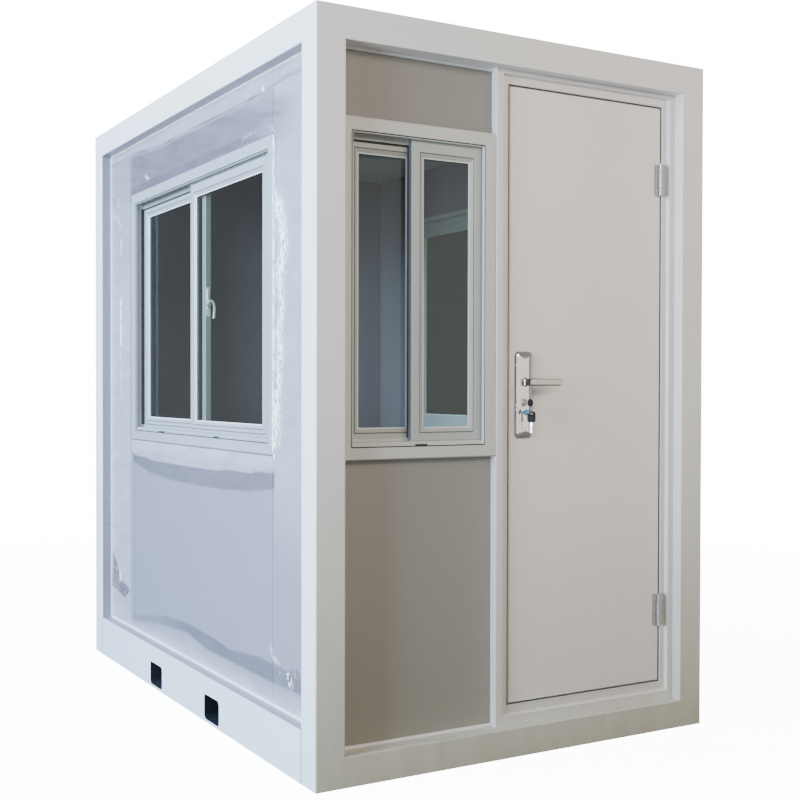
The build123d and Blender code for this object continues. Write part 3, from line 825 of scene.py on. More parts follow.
def crescent_latch(x, z, near):
    """A latch on the meeting stile's edge: a plate, a hub, and a hooked lever that hangs into the room."""
    plate = block((x - 0.0005, near + 0.003, z - 0.055), (x + 0.0025, near + 0.019, z + 0.055), 0.001)
    hub = block((x + 0.002, near + 0.002, z + 0.004), (x + 0.013, near + 0.015, z + 0.046), 0.0035, 3)
    boss = shifted(moved(lathe([(0, 0), (0.009, 0), (0.009, 0.012), (0.007, 0.015), (0, 0.015)], 24),
                         Matrix.Rotation(math.radians(90), 4, "Y")), x + 0.002, near + 0.010, z - 0.012)
    hook = smooth_path([(x + 0.009, near + 0.006, z - 0.026), (x + 0.009, near + 0.007, z - 0.008),
                        (x + 0.010, near + 0.013, z + 0.002), (x + 0.012, near + 0.022, z + 0.001),
                        (x + 0.013, near + 0.029, z - 0.012), (x + 0.013, near + 0.031, z - 0.034),
                        (x + 0.012, near + 0.029, z - 0.064)])
    return [(plate, white_plastic), (hub, white_plastic), (boss, screw_steel),
            (ease(swept(hook, 0.010, 0.007), 0.0012, 2, 40), white_plastic)]


def drain_notch(left, right, top, near):
    """A dark drain cut in the sill lip's top edge, with its plastic baffle."""
    return [(block((left, near - 0.0006, top - 0.0045), (right, near + window_lip * 0.6, top + 0.0016), 0.0006),
             gasket_rubber)]


def window_border(outer, lap, near, far, body_depth):
    """A window frame's profile: a lip with a fine groove, the seat for the sashes, and the body in the wall.

    Returns the seat's rectangle, the profile, and the dark line in the groove."""
    lip = inset(outer, window_face, window_face, window_sill_face, window_face)
    seat = inset(outer, window_seat, window_seat, window_sill_seat, window_seat)
    body = inset(outer, lap, lap, window_lap, window_lap)
    seat_depth = near + window_lip
    shell = ring([(*outer, near + 0.0035), (*inset(outer, 0.0035), near), (*inset(lip, -0.0065), near),
                  (*inset(lip, -0.0060), near + 0.0035), (*inset(lip, -0.0030), near + 0.0035),
                  (*inset(lip, -0.0025), near + 0.0005), (*lip, near + 0.0015),
                  (*lip, seat_depth), (*seat, seat_depth), (*seat, far), (*body, far),
                  (*body, near + body_depth), (*outer, near + body_depth)], 0.0006, 2, 25)
    return seat, shell, band_between(inset(lip, -0.0060), inset(lip, -0.0031), near + 0.0024, near + 0.0037)


def window_tracks(seat, rib_near, inner_track, meeting):
    """The ribs that part the two tracks at head and sill, and the black brush strips up both sides and at the head,
    wide enough to stand as painted shade in the tracks and gaps.
    """
    head, foot = seat[3] - head_rib, seat[2]
    ribs = [block((seat[0], rib_near, head), (seat[1], inner_track, seat[3]), 0.0006),
            block((seat[0], rib_near, foot), (seat[1], inner_track, foot + sill_rib), 0.0006)]
    # brush strips filling the channels' depth: real brushes, and painted shade of the dark tracks
    brushes_and_gap_shade = [block((x0, d0, foot + 0.011), (x1, d1, head - 0.001), 0.0008)
               for x0, x1 in ((seat[0], seat[0] + 0.0035), (seat[1] - 0.0035, seat[1]))
               for d0, d1 in ((rib_near - 0.010, inner_track - 0.0005), (inner_track + 0.006, inner_track + 0.016))]
    brushes_and_gap_shade.append(block((meeting[0], rib_near + 0.0004, head - 0.006),
                         (meeting[1], inner_track - 0.0004, head + 0.001), 0.0006))
    return ribs, brushes_and_gap_shade


def sash_edge(edge, low, high, near, rib_near):
    """The interlock and the brush on the outer sash's free edge, where the two sashes pass; both are dark as painted
    shade of the gap between the sashes.
    """
    return [(block((edge - 0.0012, near + 0.002, low + 0.003), (edge + 0.0006, rib_near - 0.004, high - 0.003),
                   0.0004), interlock_shade),
            (block((edge - 0.0020, rib_near - 0.004, low + 0.012),
                   (edge + 0.004, rib_near + 0.0025, high - head_rib - 0.001), 0.0006), brush_pile_and_shade)]


def dress_window(wall, lap):
    """A two-sash sliding window: profiled frame, both sashes, seals, brush strips, latch and drain slots."""
    front = wall == "front"
    # the side windows' coating and the sashes' coating are darker copies of the window coating, painted shade
    coating, shaded_sash_coating = (window_coating, sash_shaded_coating) if front else (side_window_shaded_coating, side_window_shaded_coating)
    body_depth, edge_groove = (front_body_depth, 0.0) if front else (side_body_depth, side_edge_groove)
    outer, near, far = on_wall(f"{wall}_window_frame", wall)
    (_, sash_right, sash_low, sash_high), sash_near, _ = on_wall(f"{wall}_window_sashes", wall)
    seat, shell, lip_line = window_border(outer, lap, near, far, body_depth)
    rib_near = sash_near + sash_thickness
    inner_track = rib_near + rib_thickness
    each = (seat[1] - seat[0]) / 2 + meeting_stile / 2
    outer_sash, inner_sash = (sash_right - each, sash_right), (seat[0], seat[0] + each)
    ribs, brushes_and_gap_shade = window_tracks(seat, rib_near, inner_track, (inner_sash[0] + 0.004, outer_sash[0] + 0.01))
    parts = [(shell, coating), (lip_line, gasket_rubber)] + [(rib, coating) for rib in ribs]
    parts += [(brush, brush_pile_and_shade) for brush in brushes_and_gap_shade]
    for left, right in drain_places[wall]:
        parts += drain_notch(left, right, outer[2] + window_sill_face, near)
    piece(f"{wall}_window_profile", parts, wall=wall,
          replaces=[f"{wall}_window_frame"])

    borders = []
    for ends, left_stile, right_stile, depth in (
            (outer_sash, meeting_stile, sash_stile, sash_near),
            (inner_sash, sash_stile, meeting_stile, inner_track)):
        whole = (*ends, sash_low, sash_high)
        border, glass = sash(whole, left_stile, right_stile, depth, edge_groove)
        borders += [(border, shaded_sash_coating), (gasket(glass, depth + glass_depth), glass_seal),
                    *groove_floors(whole, glass, depth, edge_groove)]
    borders += sash_edge(outer_sash[0], sash_low, sash_high, sash_near, rib_near)
    borders += crescent_latch(inner_sash[1], (sash_low + sash_high) / 2 + latch_lift, inner_track)
    piece(f"{wall}_window_sash_pair", borders, wall=wall,
          replaces=[f"{wall}_window_sashes"])
    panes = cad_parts[f"{wall}_window_glass"].data.materials
    panes.clear()
    panes.append(window_glass)


dress_window("front", 0.0)
dress_window("left", window_lap)
dress_window("right", window_lap)

# ---- door frame ----
jamb_width, head_width, foot_width = 0.051, 0.045, 0.065
band, head_band, foot_band, slope = 0.025, 0.015, 0.033, 0.005
stop_width, stop_thickness = 0.015, 0.015


def dress_door_frame():
    """A folded steel frame: flat outer band, slope, inner band level with the leaf, and a rebate with its seal."""
    outer, near, far = on_wall("door_frame", "front")
    leaf_near = on_wall("door_leaf", "front")[1]
    stop_near = far - 0.01 - stop_thickness
    flat = inset(outer, band, band, foot_band, head_band)
    low = inset(flat, slope)
    opening = inset(outer, jamb_width, jamb_width, foot_width, head_width)
    stop = inset(opening, stop_width)
    lipped = inset(opening, -0.004)
    shell = ring([(*outer, near + 0.0005), (*inset(outer, 0.004), near), (*flat, near), (*low, leaf_near),
                  (*lipped, leaf_near), (*inset(lipped, 0.001), leaf_near - 0.0012),
                  (*opening, leaf_near - 0.0006),
                  (*opening, stop_near), (*stop, stop_near), (*stop, stop_near + stop_thickness),
                  (*opening, stop_near + stop_thickness), (*opening, far), (*outer, far)], 0.0012, 3, 20)
    slit = inset(opening, 0.0036, 0.0026, 0.0036, 0.0036)
    # a dark ring in the slit round the leaf: painted shadow in the gap
    gap_shadow_strip = ring([(*opening, leaf_near + 0.003), (*slit, leaf_near + 0.0034), (*slit, leaf_near + 0.0075),
                     (*opening, leaf_near + 0.0075)], 0.0004, 2)
    seal = ring([(*opening, stop_near - 0.004), (*inset(opening, 0.009), stop_near - 0.0042),
                 (*inset(opening, 0.011), stop_near - 0.002), (*inset(opening, 0.011), stop_near + 0.0005),
                 (*opening, stop_near + 0.0005)], 0.0008, 2)
    plate_middle = middle_of("lock_plates")[2]
    strike = block((opening[0] - 0.0002, leaf_near + 0.008, plate_middle - 0.11),
                   (opening[0] + 0.0022, leaf_near + 0.034, plate_middle + 0.11), 0.0008)
    piece("door_frame_folded", [(shell, door_frame_paint), (seal, gasket_rubber), (gap_shadow_strip, joint_shadow),
                               (strike, screw_steel)],
          wall="front", replaces=["door_frame"])


dress_door_frame()


# ---- door leaf ----
fold_width = 0.016
lock_x, spindle_z, cylinder_z = middle_of("lock_plates")[0], middle_of("lever_handle")[2], middle_of("lock_cylinder")[2]
spindle_hole, cylinder_hole = 0.013, 0.0092


def lock_holes(y, start, end, turn):
    """Cutters for the spindle's and the barrel's holes, from start to end along the turned axis."""
    return [shifted(moved(lathe([(r, start), (r, end)], 40), turn), lock_x, y, z)
            for r, z in ((spindle_hole, spindle_z), (cylinder_hole, cylinder_z))]


def dress_leaf():
    """A pressed steel leaf whose face folds back round its edges, with the lock's plate let into its edge."""
    (left, right, bottom, top), near, far = on_wall("door_leaf", "front")
    outer = (left, right, bottom, top)
    slab = stack([[(a, y, c), (b, y, c), (b, y, e), (a, y, e)] for (a, b, c, e), y in (
        (inset(outer, 0.002), far), (outer, far - 0.002), (outer, near + 0.0065),
        (inset(outer, 0.0008), near + 0.0038), (inset(outer, 0.0028), near + 0.0018),
        (inset(outer, 0.006), near + 0.0010), (inset(outer, fold_width), near + 0.0009),
        (inset(outer, fold_width + 0.008, fold_width), near + 0.0002),
        (inset(outer, fold_width + 0.012, fold_width + 0.004), near))])
    slab = bored(slab, *lock_holes(near, -0.03, 0.1, face_out.inverted()))
    forend = block((left - 0.0012, near + 0.009, cylinder_z - 0.09), (left + 0.001, far - 0.009, cylinder_z + 0.14),
                   0.0006)
    piece("door_leaf_pressed", [(slab, door_paint), (forend, screw_steel)], body="door", wall="front",
          replaces=["door_leaf"])


dress_leaf()


# ---- hinges ----
hinge_height, hinge_radius, pin_radius, knuckle_gap, plate_thickness = 0.11, 0.008, 0.004, 0.001, 0.003
screw_margin, screw_pitch = 0.018, 0.037


def ring_of(radius, level, steps=40):
    """The points of a level circle about the Z axis."""
    return [(radius * math.cos(a), radius * math.sin(a), level)
            for a in (2 * math.pi * k / steps for k in range(steps))]


def screw_head(radius=0.0032):
    """A small countersunk head with a cross recess."""
    head = lathe([(0, -0.0008), (radius, -0.0008), (radius, 0.0002), (radius * 0.7, 0.0007), (0, 0.0008)], 16)
    cross = [block((-radius * 0.62, -radius * 0.14, 0.0002), (radius * 0.62, radius * 0.14, 0.002), 0),
             block((-radius * 0.14, -radius * 0.62, 0.0002), (radius * 0.14, radius * 0.62, 0.002), 0)]
    return moved(bored(head, *cross), face_out)


def cuff(length):
    """The outline of a knuckle, (radius, height), with its ends eased."""
    return ((hinge_radius - 0.0008, 0), (hinge_radius, 0.0008), (hinge_radius, length - 0.0008),
            (hinge_radius - 0.0008, length))


def hinge_plate(x0, x1, low, near):
    """One leaf of a hinge, flat against the steel."""
    return block((x0, near - plate_thickness, low), (x1, near, low + hinge_height), 0.0005), hinge_steel


def plate_line(x0, x1, low, near, proud):
    """A painted shadow line along a hinge plate's edge."""
    return block((x0, near - proud, low), (x1, near, low + hinge_height), 0.0), joint_shadow


def plate_screws(x, low, near):
    """Three screws down a hinge plate."""
    start = (x, near - plate_thickness, low + screw_margin)
    return row(screw_head(), start, (0, 0, screw_pitch), 3, screw_steel), screw_steel


def dress_hinges():
    """Two butt hinges of three knuckles: the frame halves carry the pin, the leaf halves turn on it."""
    leaf_low, leaf_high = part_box("hinge_leaf_halves")
    frame_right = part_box("hinge_frame_halves")[1].x
    height = hinge_height
    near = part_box("door_leaf")[0].y
    hinge_y = near - hinge_radius
    hinge_x = leaf_high.x - hinge_radius
    end = (height - 2 * knuckle_gap) / 4
    middle = height / 2 - knuckle_gap
    frame_parts, leaf_parts = [], []
    for level in (leaf_low.z + height / 2, leaf_high.z - height / 2):
        low = level - height / 2
        for start, cap in ((low, -1), (level + height / 2 - end, 1)):
            knuckle = lathe([(0, 0), *cuff(end), (0, end)], 28)
            wing = block((hinge_x + 0.004, near - 0.003, start), (frame_right - 0.012, near - 0.001, start + end),
                         0.0004)
            ball = lathe([(0, 0), (0.005, 0), (0.0052, 0.0012), (0.004, 0.0024), (0, 0.003)], 20)
            tip = moved(ball, Matrix.Rotation(math.pi, 4, "X")) if cap < 0 else ball
            frame_parts += [(shifted(knuckle, hinge_x, hinge_y, start), hinge_steel), (wing, hinge_steel),
                            (shifted(tip, hinge_x, hinge_y, low if cap < 0 else low + height), screw_steel)]
        plate_left = hinge_x + hinge_radius
        frame_parts.append(hinge_plate(plate_left + 0.001, frame_right, low, near))
        frame_parts += [plate_line(x, x + 0.0030, low, near, 0.0026)
                        for x in (plate_left + 0.0002, frame_right - 0.0012)]
        frame_parts.append(plate_screws(frame_right - 0.007, low, near))
        pin = lathe([(0, 0), (pin_radius, 0), (pin_radius, height), (0, height)], 20)
        frame_parts.append((shifted(pin, hinge_x, hinge_y, low), screw_steel))

        bore = pin_radius + 0.0005
        barrel = stack([ring_of(r, z, 28) for r, z in ((bore, 0), *cuff(middle), (bore, middle))], joined=True)
        wing = block((leaf_low.x + 0.01, near - 0.003, level - middle / 2),
                     (hinge_x - 0.0045, near - 0.0004, level + middle / 2), 0.0004)
        leaf_parts += [(shifted(barrel, hinge_x, hinge_y, level - middle / 2), hinge_steel), (wing, hinge_steel),
                       hinge_plate(leaf_low.x, leaf_low.x + 0.012, low, near),
                       plate_line(leaf_low.x - 0.0018, leaf_low.x, low, near, 0.0012),
                       plate_screws(leaf_low.x + 0.006, low, near)]
    piece("hinge_frame_leaves", frame_parts, replaces=["hinge_frame_halves"])
    piece("hinge_door_leaves", leaf_parts, body="door", replaces=["hinge_leaf_halves"])


dress_hinges()


# ---- lock plates, lever, cylinder and keys ----
arch, plate_corner, plate_line_width = 0.005, 0.012, 0.0022
# how far the plate's outline is drawn in, and the share of its rise that is reached there
plate_dome = ((0.0, 0.0), (0.0, 0.34), (0.0008, 0.42), (0.0028, 0.52), (0.0065, 0.66), (0.011, 0.79),
              (0.016, 0.90), (0.022, 0.97), (0.028, 1.0))
# the collars round the spindle and the barrel, as (radius, height) round a section
spindle_collar = ((0.0128, -0.004), (0.0152, -0.004), (0.0152, 0.0006), (0.0142, 0.0016), (0.0128, 0.0012))
cylinder_collar = ((0.0092, -0.003), (0.0125, -0.003), (0.0125, 0.0006), (0.0112, 0.0016), (0.0092, 0.0012))


def plate_outline(low, high, drawn_in, depth):
    """A lock plate's outline with gently arched ends, drawn in by an amount."""
    half, tall = (high.x - low.x) / 2 - drawn_in, (high.z - low.z) / 2 - drawn_in
    middle = (low.z + high.z) / 2
    return [(lock_x + x, depth, middle + z - math.copysign(arch * (x / half) ** 2, z) * min(1.0, abs(z) / tall))
            for x, z in rounded_loop(-half, half, -tall, tall, plate_corner - drawn_in * 0.35, 6)]


def dress_lock_plates():
    """Domed plates outside and inside, each with a thin painted shadow line round it, two collars and two screws."""
    low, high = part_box("lock_plates")
    leaf_low, leaf_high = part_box("door_leaf")
    parts = []
    for base, tip in ((leaf_low.y, low.y), (leaf_high.y, high.y)):
        rise = tip - base
        plate = stack([plate_outline(low, high, d, base + rise * h) for d, h in plate_dome])
        parts.append((bored(plate, *lock_holes(base, -0.05, 0.05, face_out)), lock_chrome))
        # a dark outline just beyond the plate: painted shadow where it meets the leaf
        parts.append((stack([plate_outline(low, high, -plate_line_width, base + rise * h) for h in (0.0, 0.3)]),
                      joint_shadow))
        turn = face_out if rise < 0 else face_out.inverted()
        for level, profile in ((spindle_z, spindle_collar), (cylinder_z, cylinder_collar)):
            collar = stack([ring_of(r, h) for r, h in profile], joined=True)
            parts.append((shifted(moved(collar, turn), lock_x, tip, level), lock_chrome))
        for z in (low.z + 0.022, high.z - 0.022):
            head = screw_head(0.0038)
            if rise > 0:
                moved(head, Matrix.Rotation(math.pi, 4, "Z"))
            parts.append((shifted(head, lock_x, tip + (0.0004 if rise > 0 else -0.0004), z), screw_steel))
    piece("lock_plate_pair", parts, body="door", replaces=["lock_plates"])


def dress_lever():
    """Two levers on one square spindle, each a polished square hub whose chrome is dark as a painted reflection of dark
    surroundings, and a straight flat bar with a rounded tip.
    """
    low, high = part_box("lever_handle")
    plate_near, plate_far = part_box("lock_plates")[0].y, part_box("lock_plates")[1].y
    half, thickness = (high.z - low.z) / 2, 0.012
    parts = []
    for base, tip in ((plate_near, low.y), (plate_far, high.y)):
        sign = -1 if tip < base else 1
        hub_end, bar_foot = tip - sign * 0.0008, tip - sign * thickness
        hub = block((lock_x - half, min(base + sign * 0.006, hub_end), spindle_z - half),
                    (lock_x + half, max(base + sign * 0.006, hub_end), spindle_z + half), 0.0026, 3)
        parts.append((hub, hub_dark_reflection))
        neck = lathe([(0, -0.005), (0.0118, -0.005), (0.0118, 0.007), (0, 0.007)], 32)
        parts.append((shifted(moved(neck, face_out if sign < 0 else face_out.inverted()), lock_x, base, spindle_z),
                      hub_dark_reflection))
        bar = stack([[(x, y, z) for x, z in rounded_loop(
            lock_x - half + d, high.x - d, spindle_z - half + d + 0.0018, spindle_z + half - d - 0.0004,
            0.0085, 6)] for d, y in ((0.0016, bar_foot), (0.0, bar_foot + sign * 0.0016), (0.0, tip - sign * 0.0034),
                                     (0.0009, tip - sign * 0.0014), (0.0032, tip))])
        parts.append((bar, lever_nickel))
        # a dark strip under the bar: painted shade along its lower edge
        under = block((lock_x, min(bar_foot, tip - sign * 0.002), spindle_z - half + 0.0002),
                      (high.x - 0.007, max(bar_foot, tip - sign * 0.002), spindle_z - half + 0.0021), 0.0006)
        parts.append((under, hub_dark_reflection))
    spindle = block((lock_x - 0.004, plate_near, spindle_z - 0.004), (lock_x + 0.004, plate_far, spindle_z + 0.004),
                    0.0005)
    parts.append((spindle, screw_steel))
    piece("lever_pair", parts, body="lever", replaces=["lever_handle"])


def dress_cylinder():
    """The lock's barrel with a turning plug and key slot at both ends."""
    low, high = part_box("lock_cylinder")
    radius = (high.x - low.x) / 2
    body = lathe([(0, low.y), (radius - 0.001, low.y), (radius, low.y + 0.001), (radius, high.y - 0.001),
                  (radius - 0.001, high.y), (0, high.y)], 32)
    body = moved(body, Matrix.Rotation(math.radians(-90), 4, "X"))
    parts = [(shifted(body, lock_x, 0, cylinder_z), cylinder_brass)]
    for y, turn in ((low.y, face_out), (high.y, face_out.inverted())):
        plug = lathe([(0, -0.001), (0.0062, -0.001), (0.0062, 0.0004), (0.0056, 0.0009), (0, 0.0009)], 28)
        slot_cut = block((-0.0013, -0.0042, -0.0002), (0.0013, 0.0042, 0.002), 0)
        plug = bored(plug, slot_cut)
        parts.append((shifted(moved(plug, turn), lock_x, y, cylinder_z), cylinder_brass))
    piece("lock_cylinder_keyed", parts, body="door", replaces=["lock_cylinder"])


ring_radius, ring_wire, key_reach, key_hole, key_thickness = 0.013, 0.001, 0.023, 0.003, 0.006
hanging_turn, tag_angle = math.radians(-60), math.radians(60)
hole_drop = 0.0065   # how far down and along from the bow's middle the key's hole is
tag_radius, tag_rim, tag_drop = 0.0125, 0.0098, 0.0082


def toothed_blade(top, length, wide=0.008, thick=0.0024):
    """A key's flat blade hanging down from top, its tip cut slanting and one edge cut into teeth."""
    cuts = (0.0, 0.0, 0.0016, 0.0006, 0.0026, 0.0012, 0.0030, 0.0014, 0.0022, 0.0006, 0.0018, 0.0)
    edge = [(wide / 2 - cut, top - length * (0.2 + 0.72 * k / (len(cuts) - 1))) for k, cut in enumerate(cuts)]
    outline = [(-wide / 2, top)] + [(wide / 2, top)] + edge + [(0.0012, top - length), (-0.0012, top - length),
                                                              (-wide / 2, top - length * 0.94)]
    blade = stack([[(x, y, z) for x, z in outline] for y in (-thick / 2, thick / 2)])
    grooves = [block((-wide * 0.22, side * thick / 2 - 0.0005, top - length * 0.88),
                     (wide * 0.02, side * thick / 2 + 0.0005, top), 0.0) for side in (-1, 1)]
    return bored(blade, *grooves)


def key_bow(outline, thick, hole):
    """A moulded key head with softly rounded faces and a hole; both are outlines of (x, z) points."""
    middle = Vector((sum(x for x, _ in outline), sum(z for _, z in outline))) / len(outline)
    loops = []
    for drawn_in, y in ((0.0016, -0.5), (0.0005, -0.36), (0.0, -0.15), (0.0, 0.15), (0.0005, 0.36), (0.0016, 0.5)):
        shrink = 1 - drawn_in / max((Vector(p) - middle).length for p in outline)
        loops.append([(middle.x + (x - middle.x) * shrink, y * thick, middle.y + (z - middle.y) * shrink)
                      for x, z in outline])
    return bored(stack(loops), stack([[(x, y, z) for x, z in hole] for y in (-thick, thick)]))


def round_outline(x, z, radius, steps=28):
    """The (x, z) points of a circle."""
    return [(x + radius * math.cos(a), z + radius * math.sin(a))
            for a in (2 * math.pi * k / steps for k in range(steps))]


def split_ring(turns=1.92, steps=72, around=8):
    """A key ring of wire wound nearly twice round, leaning a little as it goes."""
    coil = []
    for k in range(steps + 1):
        a = 2 * math.pi * turns * k / steps
        lean = 0.0008 * (k / steps - 0.5)
        across = Vector((math.sin(a), 0, math.cos(a)))
        coil.append([across * (ring_radius + ring_wire * 0.55 * math.cos(b))
                     + Vector((0, lean + ring_wire * 0.5 * math.sin(b), 0))
                     for b in (2 * math.pi * j / around for j in range(around))])
    return stack(coil)


def dress_keys():
    """A black-headed key in the lock, and a split ring with a spare key and a round blue-green tag on it."""
    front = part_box("lock_cylinder")[0].y
    in_lock = key_bow(round_outline(0, 0, 0.013), key_thickness, round_outline(hole_drop, -hole_drop, key_hole))
    moved(in_lock, Matrix.Translation((lock_x, front - key_reach, cylinder_z)) @ Matrix.Rotation(-math.pi / 2, 4, "Z"))
    shank = block((lock_x - 0.0012, front - 0.013, cylinder_z - 0.004),
                  (lock_x + 0.0012, front + 0.001, cylinder_z + 0.004), 0.0004)
    parts = [(in_lock, key_plastic), (shank, key_steel)]
    ring_y = front - key_reach - hole_drop
    ring_top = cylinder_z - hole_drop - key_hole + ring_wire + 0.0008
    middle = Matrix.Translation((lock_x, ring_y, ring_top - ring_radius))
    parts.append((moved(split_ring(), middle), key_steel))

    def hung(angle):
        down = Matrix.Translation((0, 0, -ring_radius))
        return middle @ Matrix.Rotation(angle, 4, "Y") @ down @ Matrix.Rotation(hanging_turn, 4, "Z")

    slot = rounded_loop(-0.007, 0.007, -0.0042, 0.0018, 0.0025, 4)
    spare = [(key_bow(rounded_loop(-0.0145, 0.0145, -0.0302, 0.0058, 0.009, 6), key_thickness, slot), key_plastic),
             (toothed_blade(-0.0295, 0.0357), key_steel)]
    tag_hole = round_outline(0, -0.0012, key_hole)
    rim = key_bow(round_outline(0, -tag_drop, tag_radius), 0.003, round_outline(0, -tag_drop, tag_rim))
    disc = key_bow(round_outline(0, -tag_drop, tag_rim + 0.0003), 0.0022, tag_hole)
    tag = [(bored(rim, stack([[(x, y, z) for x, z in tag_hole] for y in (-0.003, 0.003)])), tag_rim_plastic),
           (disc, tag_plastic)]
    parts += [(moved(solid, hung(0.0)), finish) for solid, finish in spare]
    parts += [(moved(solid, hung(tag_angle)), finish) for solid, finish in tag]
    piece("key_set", parts, body="door", replaces=["keys"])


dress_lock_plates()
dress_lever()
dress_cylinder()
dress_keys()

# ---- the clear film on the left wall ----
film_window_gap, film_rest, film_lift = 0.003, 0.0008, 0.0085
coarse_grid, fine_grid, window_edge_grid, end_grid = 0.0105, 0.0045, 0.0021, 0.007
# lines along the wall, each point a y and what the line has there: how dark the film is over the window, or a height
film_lines = {
    "upper_tone": [(-0.95, 0.0), (-0.74, 0.35), (-0.5, 0.6), (-0.2, 0.85), (0.2, 1.0), (0.5, 0.95), (0.72, 0.8),
                   (0.78, 0.2)],
    "flap": [(0.74, 0.92), (0.486, 0.906), (0.141, 0.901), (-0.215, 0.906), (-0.527, 0.916), (-0.74, 0.93)],
    "flap_foot": [(0.74, 0.895), (0.687, 0.884), (0.508, 0.855), (0.238, 0.841), (-0.043, 0.840),
                          (-0.345, 0.847), (-0.513, 0.855), (-0.683, 0.872), (-0.74, 0.885)],
    "head": [(1.02, 2.205), (0.739, 2.212), (0.38, 2.186), (0.061, 2.19), (-0.355, 2.184), (-0.597, 2.187),
                     (-0.71, 2.194), (-0.817, 2.2), (-1.02, 2.19)],
    "foot_top": [(1.02, 0.225), (0.667, 0.235), (0.34, 0.286), (0.067, 0.298), (-0.215, 0.287), (-0.345, 0.276),
                 (-0.6, 0.300), (-1.02, 0.292)],
    "foot": [(1.02, 0.2), (0.667, 0.206), (0.403, 0.240), (0.067, 0.262), (-0.113, 0.238), (-0.407, 0.238),
                     (-0.67, 0.239), (-1.02, 0.245)],
}
crumple_left = [(1.002, 0.465), (0.906, 0.35), (0.772, 0.327), (0.845, 0.278), (1.008, 0.312)]
crumple_right = [(-0.70, 0.35), (-0.697, 0.308), (-0.816, 0.298), (-0.905, 0.322), (-0.93, 0.27), (-0.855, 0.248),
                 (-0.751, 0.239)]
# crease lines with painted white glints: a line in the wall's plane, how wide it is, how strong, and how far it stands
# up
crease_glint_lines = (
    ([(-0.762, 1.80), (-0.788, 1.731), (-0.800, 1.660), (-0.778, 1.600), (-0.772, 1.555)], 0.027, 1.0, 0.004),
    ([(-0.772, 1.555), (-0.788, 1.473), (-0.765, 1.379)], 0.020, 0.85, 0.003),
    ([(-0.765, 1.379), (-0.776, 1.326), (-0.760, 1.215), (-0.752, 1.10), (-0.748, 1.03)], 0.022, 0.85, 0.004),
    ([(-0.745, 1.845), (-0.752, 1.79)], 0.007, 0.8, 0.002),
    ([(0.898, 1.60), (0.899, 1.40)], 0.009, 1.0, 0.003),
    ([(0.895, 1.86), (0.899, 1.80)], 0.006, 0.9, 0.002),
    ([(0.902, 1.36), (0.896, 1.16)], 0.007, 0.45, 0.002),
    ([(0.928, 2.04), (0.935, 2.02)], 0.008, 0.9, 0.002),
    ([(0.98, 1.98), (0.90, 1.93)], 0.012, 0.3, 0.002),
    ([(0.556, 2.09), (0.52, 2.078)], 0.009, 0.8, 0.002),
    ([(-0.636, 2.199), (-0.642, 2.195)], 0.008, 1.0, 0.002),
    ([(-0.586, 2.177), (-0.515, 2.153), (-0.43, 2.141)], 0.006, 0.25, 0.001),
    ([(-0.479, 2.055), (-0.586, 2.073), (-0.643, 2.081), (-0.699, 2.066), (-0.735, 2.042)], 0.007, 0.3, 0.003),
    ([(0.91, 0.375), (0.905, 0.35)], 0.009, 0.9, 0.003),
    ([(-0.70, 0.352), (-0.71, 0.325), (-0.76, 0.31)], 0.009, 0.6, 0.003),
    ([(-0.84, 0.285), (-0.86, 0.262)], 0.014, 1.0, 0.004),
    ([(-0.735, 2.04), (-0.7355, 0.98)], 0.0028, 1.4, 0.0),
)


def distance_to(y, z, line):
    """How far points are from a broken line."""
    best = np.full(y.shape, 9.0)
    for (ay, az), (by, bz) in zip(line, line[1:]):
        run = max((by - ay) ** 2 + (bz - az) ** 2, 1e-12)
        t = np.clip(((y - ay) * (by - ay) + (z - az) * (bz - az)) / run, 0, 1)
        best = np.minimum(best, np.hypot(y - ay - t * (by - ay), z - az - t * (bz - az)))
    return best


def level_of(y, line):
    """A wavy line's height at y."""
    points = sorted(line)
    return np.interp(y, [p[0] for p in points], [p[1] for p in points])


def inside(y, z, corners):
    """Which points lie in a polygon, softened by their distance from its edge."""
    within = np.zeros(y.shape, bool)
    for (ay, az), (by, bz) in zip(corners, corners[1:] + corners[:1]):
        crossing = ((az > z) != (bz > z)) & (y < (by - ay) * (z - az) / (bz - az + 1e-12) + ay)
        within ^= crossing
    edge = distance_to(y, z, corners + corners[:1])
    return np.clip(np.where(within, 0.5 + edge / 0.02, 0.5 - edge / 0.012), 0, 1)


def step(value, low, high):
    """0 below low, 1 above high, and a smooth rise between."""
    t = np.clip((value - low) / (high - low), 0, 1)
    return t * t * (3 - 2 * t)


def spaced(*stops):
    """Grid lines through the stops: each pair is a place and the spacing that leads up to it."""
    lines = [stops[0][0]]
    for (start, _), (stop, gap) in zip(stops, stops[1:]):
        count = max(1, round((stop - start) / gap))
        lines += [start + (stop - start) * (k + 1) / count for k in range(count)]
    return np.array(lines)


